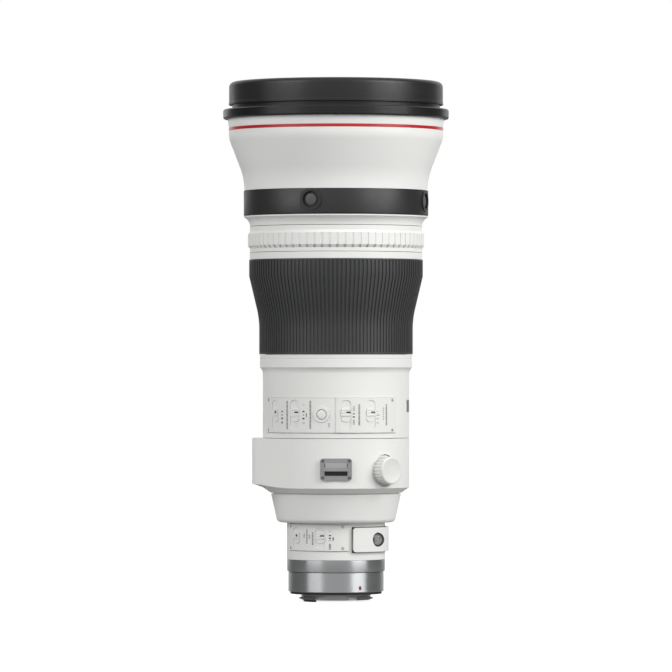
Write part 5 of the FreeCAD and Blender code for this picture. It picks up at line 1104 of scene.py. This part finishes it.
# Front glass: a domed element with a green and purple coating, set in the front barrel and clamped by
# a black ring with two slots for a spanner.
glass_low, glass_high, glass_radius = span("front_element")
front_glass = turned("front_glass", [
    (1.0, glass_low + 2.0), *arc((1.0, glass_low + 2.0), (glass_radius, glass_low), 0.5, 10),
    (glass_radius, glass_low + 10.0),
    *arc((glass_radius, glass_low + 10.0), (1.0, glass_high - 0.01), 2.99, 16),
], closed=False)
stands_for(ease_edges(front_glass, 0.15, 2, 50), "barrel", "coated_glass", coated_glass, "front_element")
keeper_low, keeper_high, keeper_radius = span("front_retainer")
keeper = turned("glass_keeper", [
    (69.8, keeper_low + 1.0), (71.4, keeper_low + 1.0), (71.4, keeper_low), (keeper_radius, keeper_low),
    (keeper_radius, keeper_high), (71.6, keeper_high), (71.2, keeper_high - 0.4), (69.8, keeper_high - 0.8),
])
for turn in (40, 220):
    carve(keeper, spun(block("spanner_slot", (3.0, 3.0, 1.4), (0, -72.4, keeper_high)), turn))
stands_for(ease_edges(keeper, 0.12), "barrel", "inner_black", baffle_black, "front_retainer")

# Index mark: a dark red spot of enamel on the lower silver ring. It is lined up with the camera's own
# mark when the lens is mounted.
index_azimuth, index_height = 30.2, 4.2
ring_index = aim(painted_bar(1.9, 2.7, lower_radius + 0.03, 0.9), index_azimuth, index_height)
ring_index.name = "mount_index"
index_red = coating("index_red", (0.2, 0.012, 0.025), 0.4, 1500, 0.1, 0.06)
stands_for(ring_index, "barrel", "red_enamel", index_red)

# Studio: a pale floor that keeps the lens's shadow, two tall softboxes beside the camera, the right
# one stronger, and a camera far back with a long lens, as for a catalogue picture.
bpy.ops.mesh.primitive_plane_add(size=14, location=(0, 0, box_at_start[0][2]))
floor = bpy.context.object
floor.name = "studio_floor"


def sum_of(tree, first, factor, second):
    """first times factor plus second, where second is a number or another socket."""
    step = add_node(tree, "ShaderNodeMath", {0: first, 1: factor, 2: second}, operation="MULTIPLY_ADD")
    return step.outputs["Value"]


floor_paper, tree, shader = new_finish("floor_paper", (0.34, 0.34, 0.34), 0.9)
light_path = add_node(tree, "ShaderNodeLightPath")
to_camera = sum_of(tree, light_path.outputs["Is Camera Ray"], 0.86,
                   sum_of(tree, light_path.outputs["Is Glossy Ray"], 0.05,
                          sum_of(tree, light_path.outputs["Is Transmission Ray"], 0.3, 0.0)))
feed(tree, shader, {"Emission Color": (1, 1, 1, 1), "Emission Strength": to_camera})
dress(floor, floor_paper)


lamp_distance, lamp_height, lamp_dip = 2, 1.22, 18


def softbox(name, azimuth, watts):
    """A large soft light that faces the lens from beside the camera."""
    data = bpy.data.lights.new(name, "AREA")
    data.shape = "RECTANGLE"
    data.size = 1.45
    data.size_y = 1.5
    data.energy = watts
    lamp = bpy.data.objects.new(name, data)
    scene.collection.objects.link(lamp)
    turn = math.radians(azimuth)
    lamp.location = (lamp_distance * math.sin(turn), -lamp_distance * math.cos(turn), lamp_height)
    lamp.rotation_euler = (math.radians(90 - lamp_dip), 0, turn)


softbox("left_softbox", -56, 26)
softbox("right_softbox", 60, 44.5)

camera_data = bpy.data.cameras.new("studio_camera")
camera_data.lens = 300
camera_data.sensor_width = 36
camera_data.shift_y = 0.0536
camera = bpy.data.objects.new("studio_camera", camera_data)
scene.collection.objects.link(camera)
camera.location = (0, -4.04, 0.159)
camera.rotation_euler = (math.radians(90), 0, 0)
scene.camera = camera

scene.view_settings.view_transform = "Standard"
world = bpy.data.worlds.new("studio")
scene.world = world
world.use_nodes = True
tree = world.node_tree
sky = add_node(tree, "ShaderNodeTexCoord")
axes = add_node(tree, "ShaderNodeSeparateXYZ", {"Vector": sky.outputs["Generated"]})
soft_light = sum_of(tree, axes.outputs["Y"], -0.28, sum_of(
    tree, axes.outputs["X"], 0.06, sum_of(tree, axes.outputs["Z"], 0.22, 0.19)))
sideways = add_node(tree, "ShaderNodeMath", {0: axes.outputs["X"]}, operation="ABSOLUTE")
in_metal = add_node(tree, "ShaderNodeMapRange", {
    "Value": sideways.outputs["Value"], "From Min": 0.5, "From Max": 0.72, "To Min": 0.95, "To Max": 0.12,
}, interpolation_type="SMOOTHSTEP")
path = add_node(tree, "ShaderNodeLightPath")
reflected = add_node(tree, "ShaderNodeMath", {
    0: path.outputs["Is Glossy Ray"], 1: path.outputs["Is Transmission Ray"],
}, operation="MAXIMUM")
level = add_node(tree, "ShaderNodeMix", {
    "Factor": reflected.outputs["Value"], "A": soft_light, "B": in_metal.outputs["Result"],
})
seen = add_node(tree, "ShaderNodeMix", {
    "Factor": path.outputs["Is Camera Ray"], "A": level.outputs["Result"], "B": 1.0,
})
feed(tree, tree.nodes["Background"], {"Color": seen.outputs["Result"]})
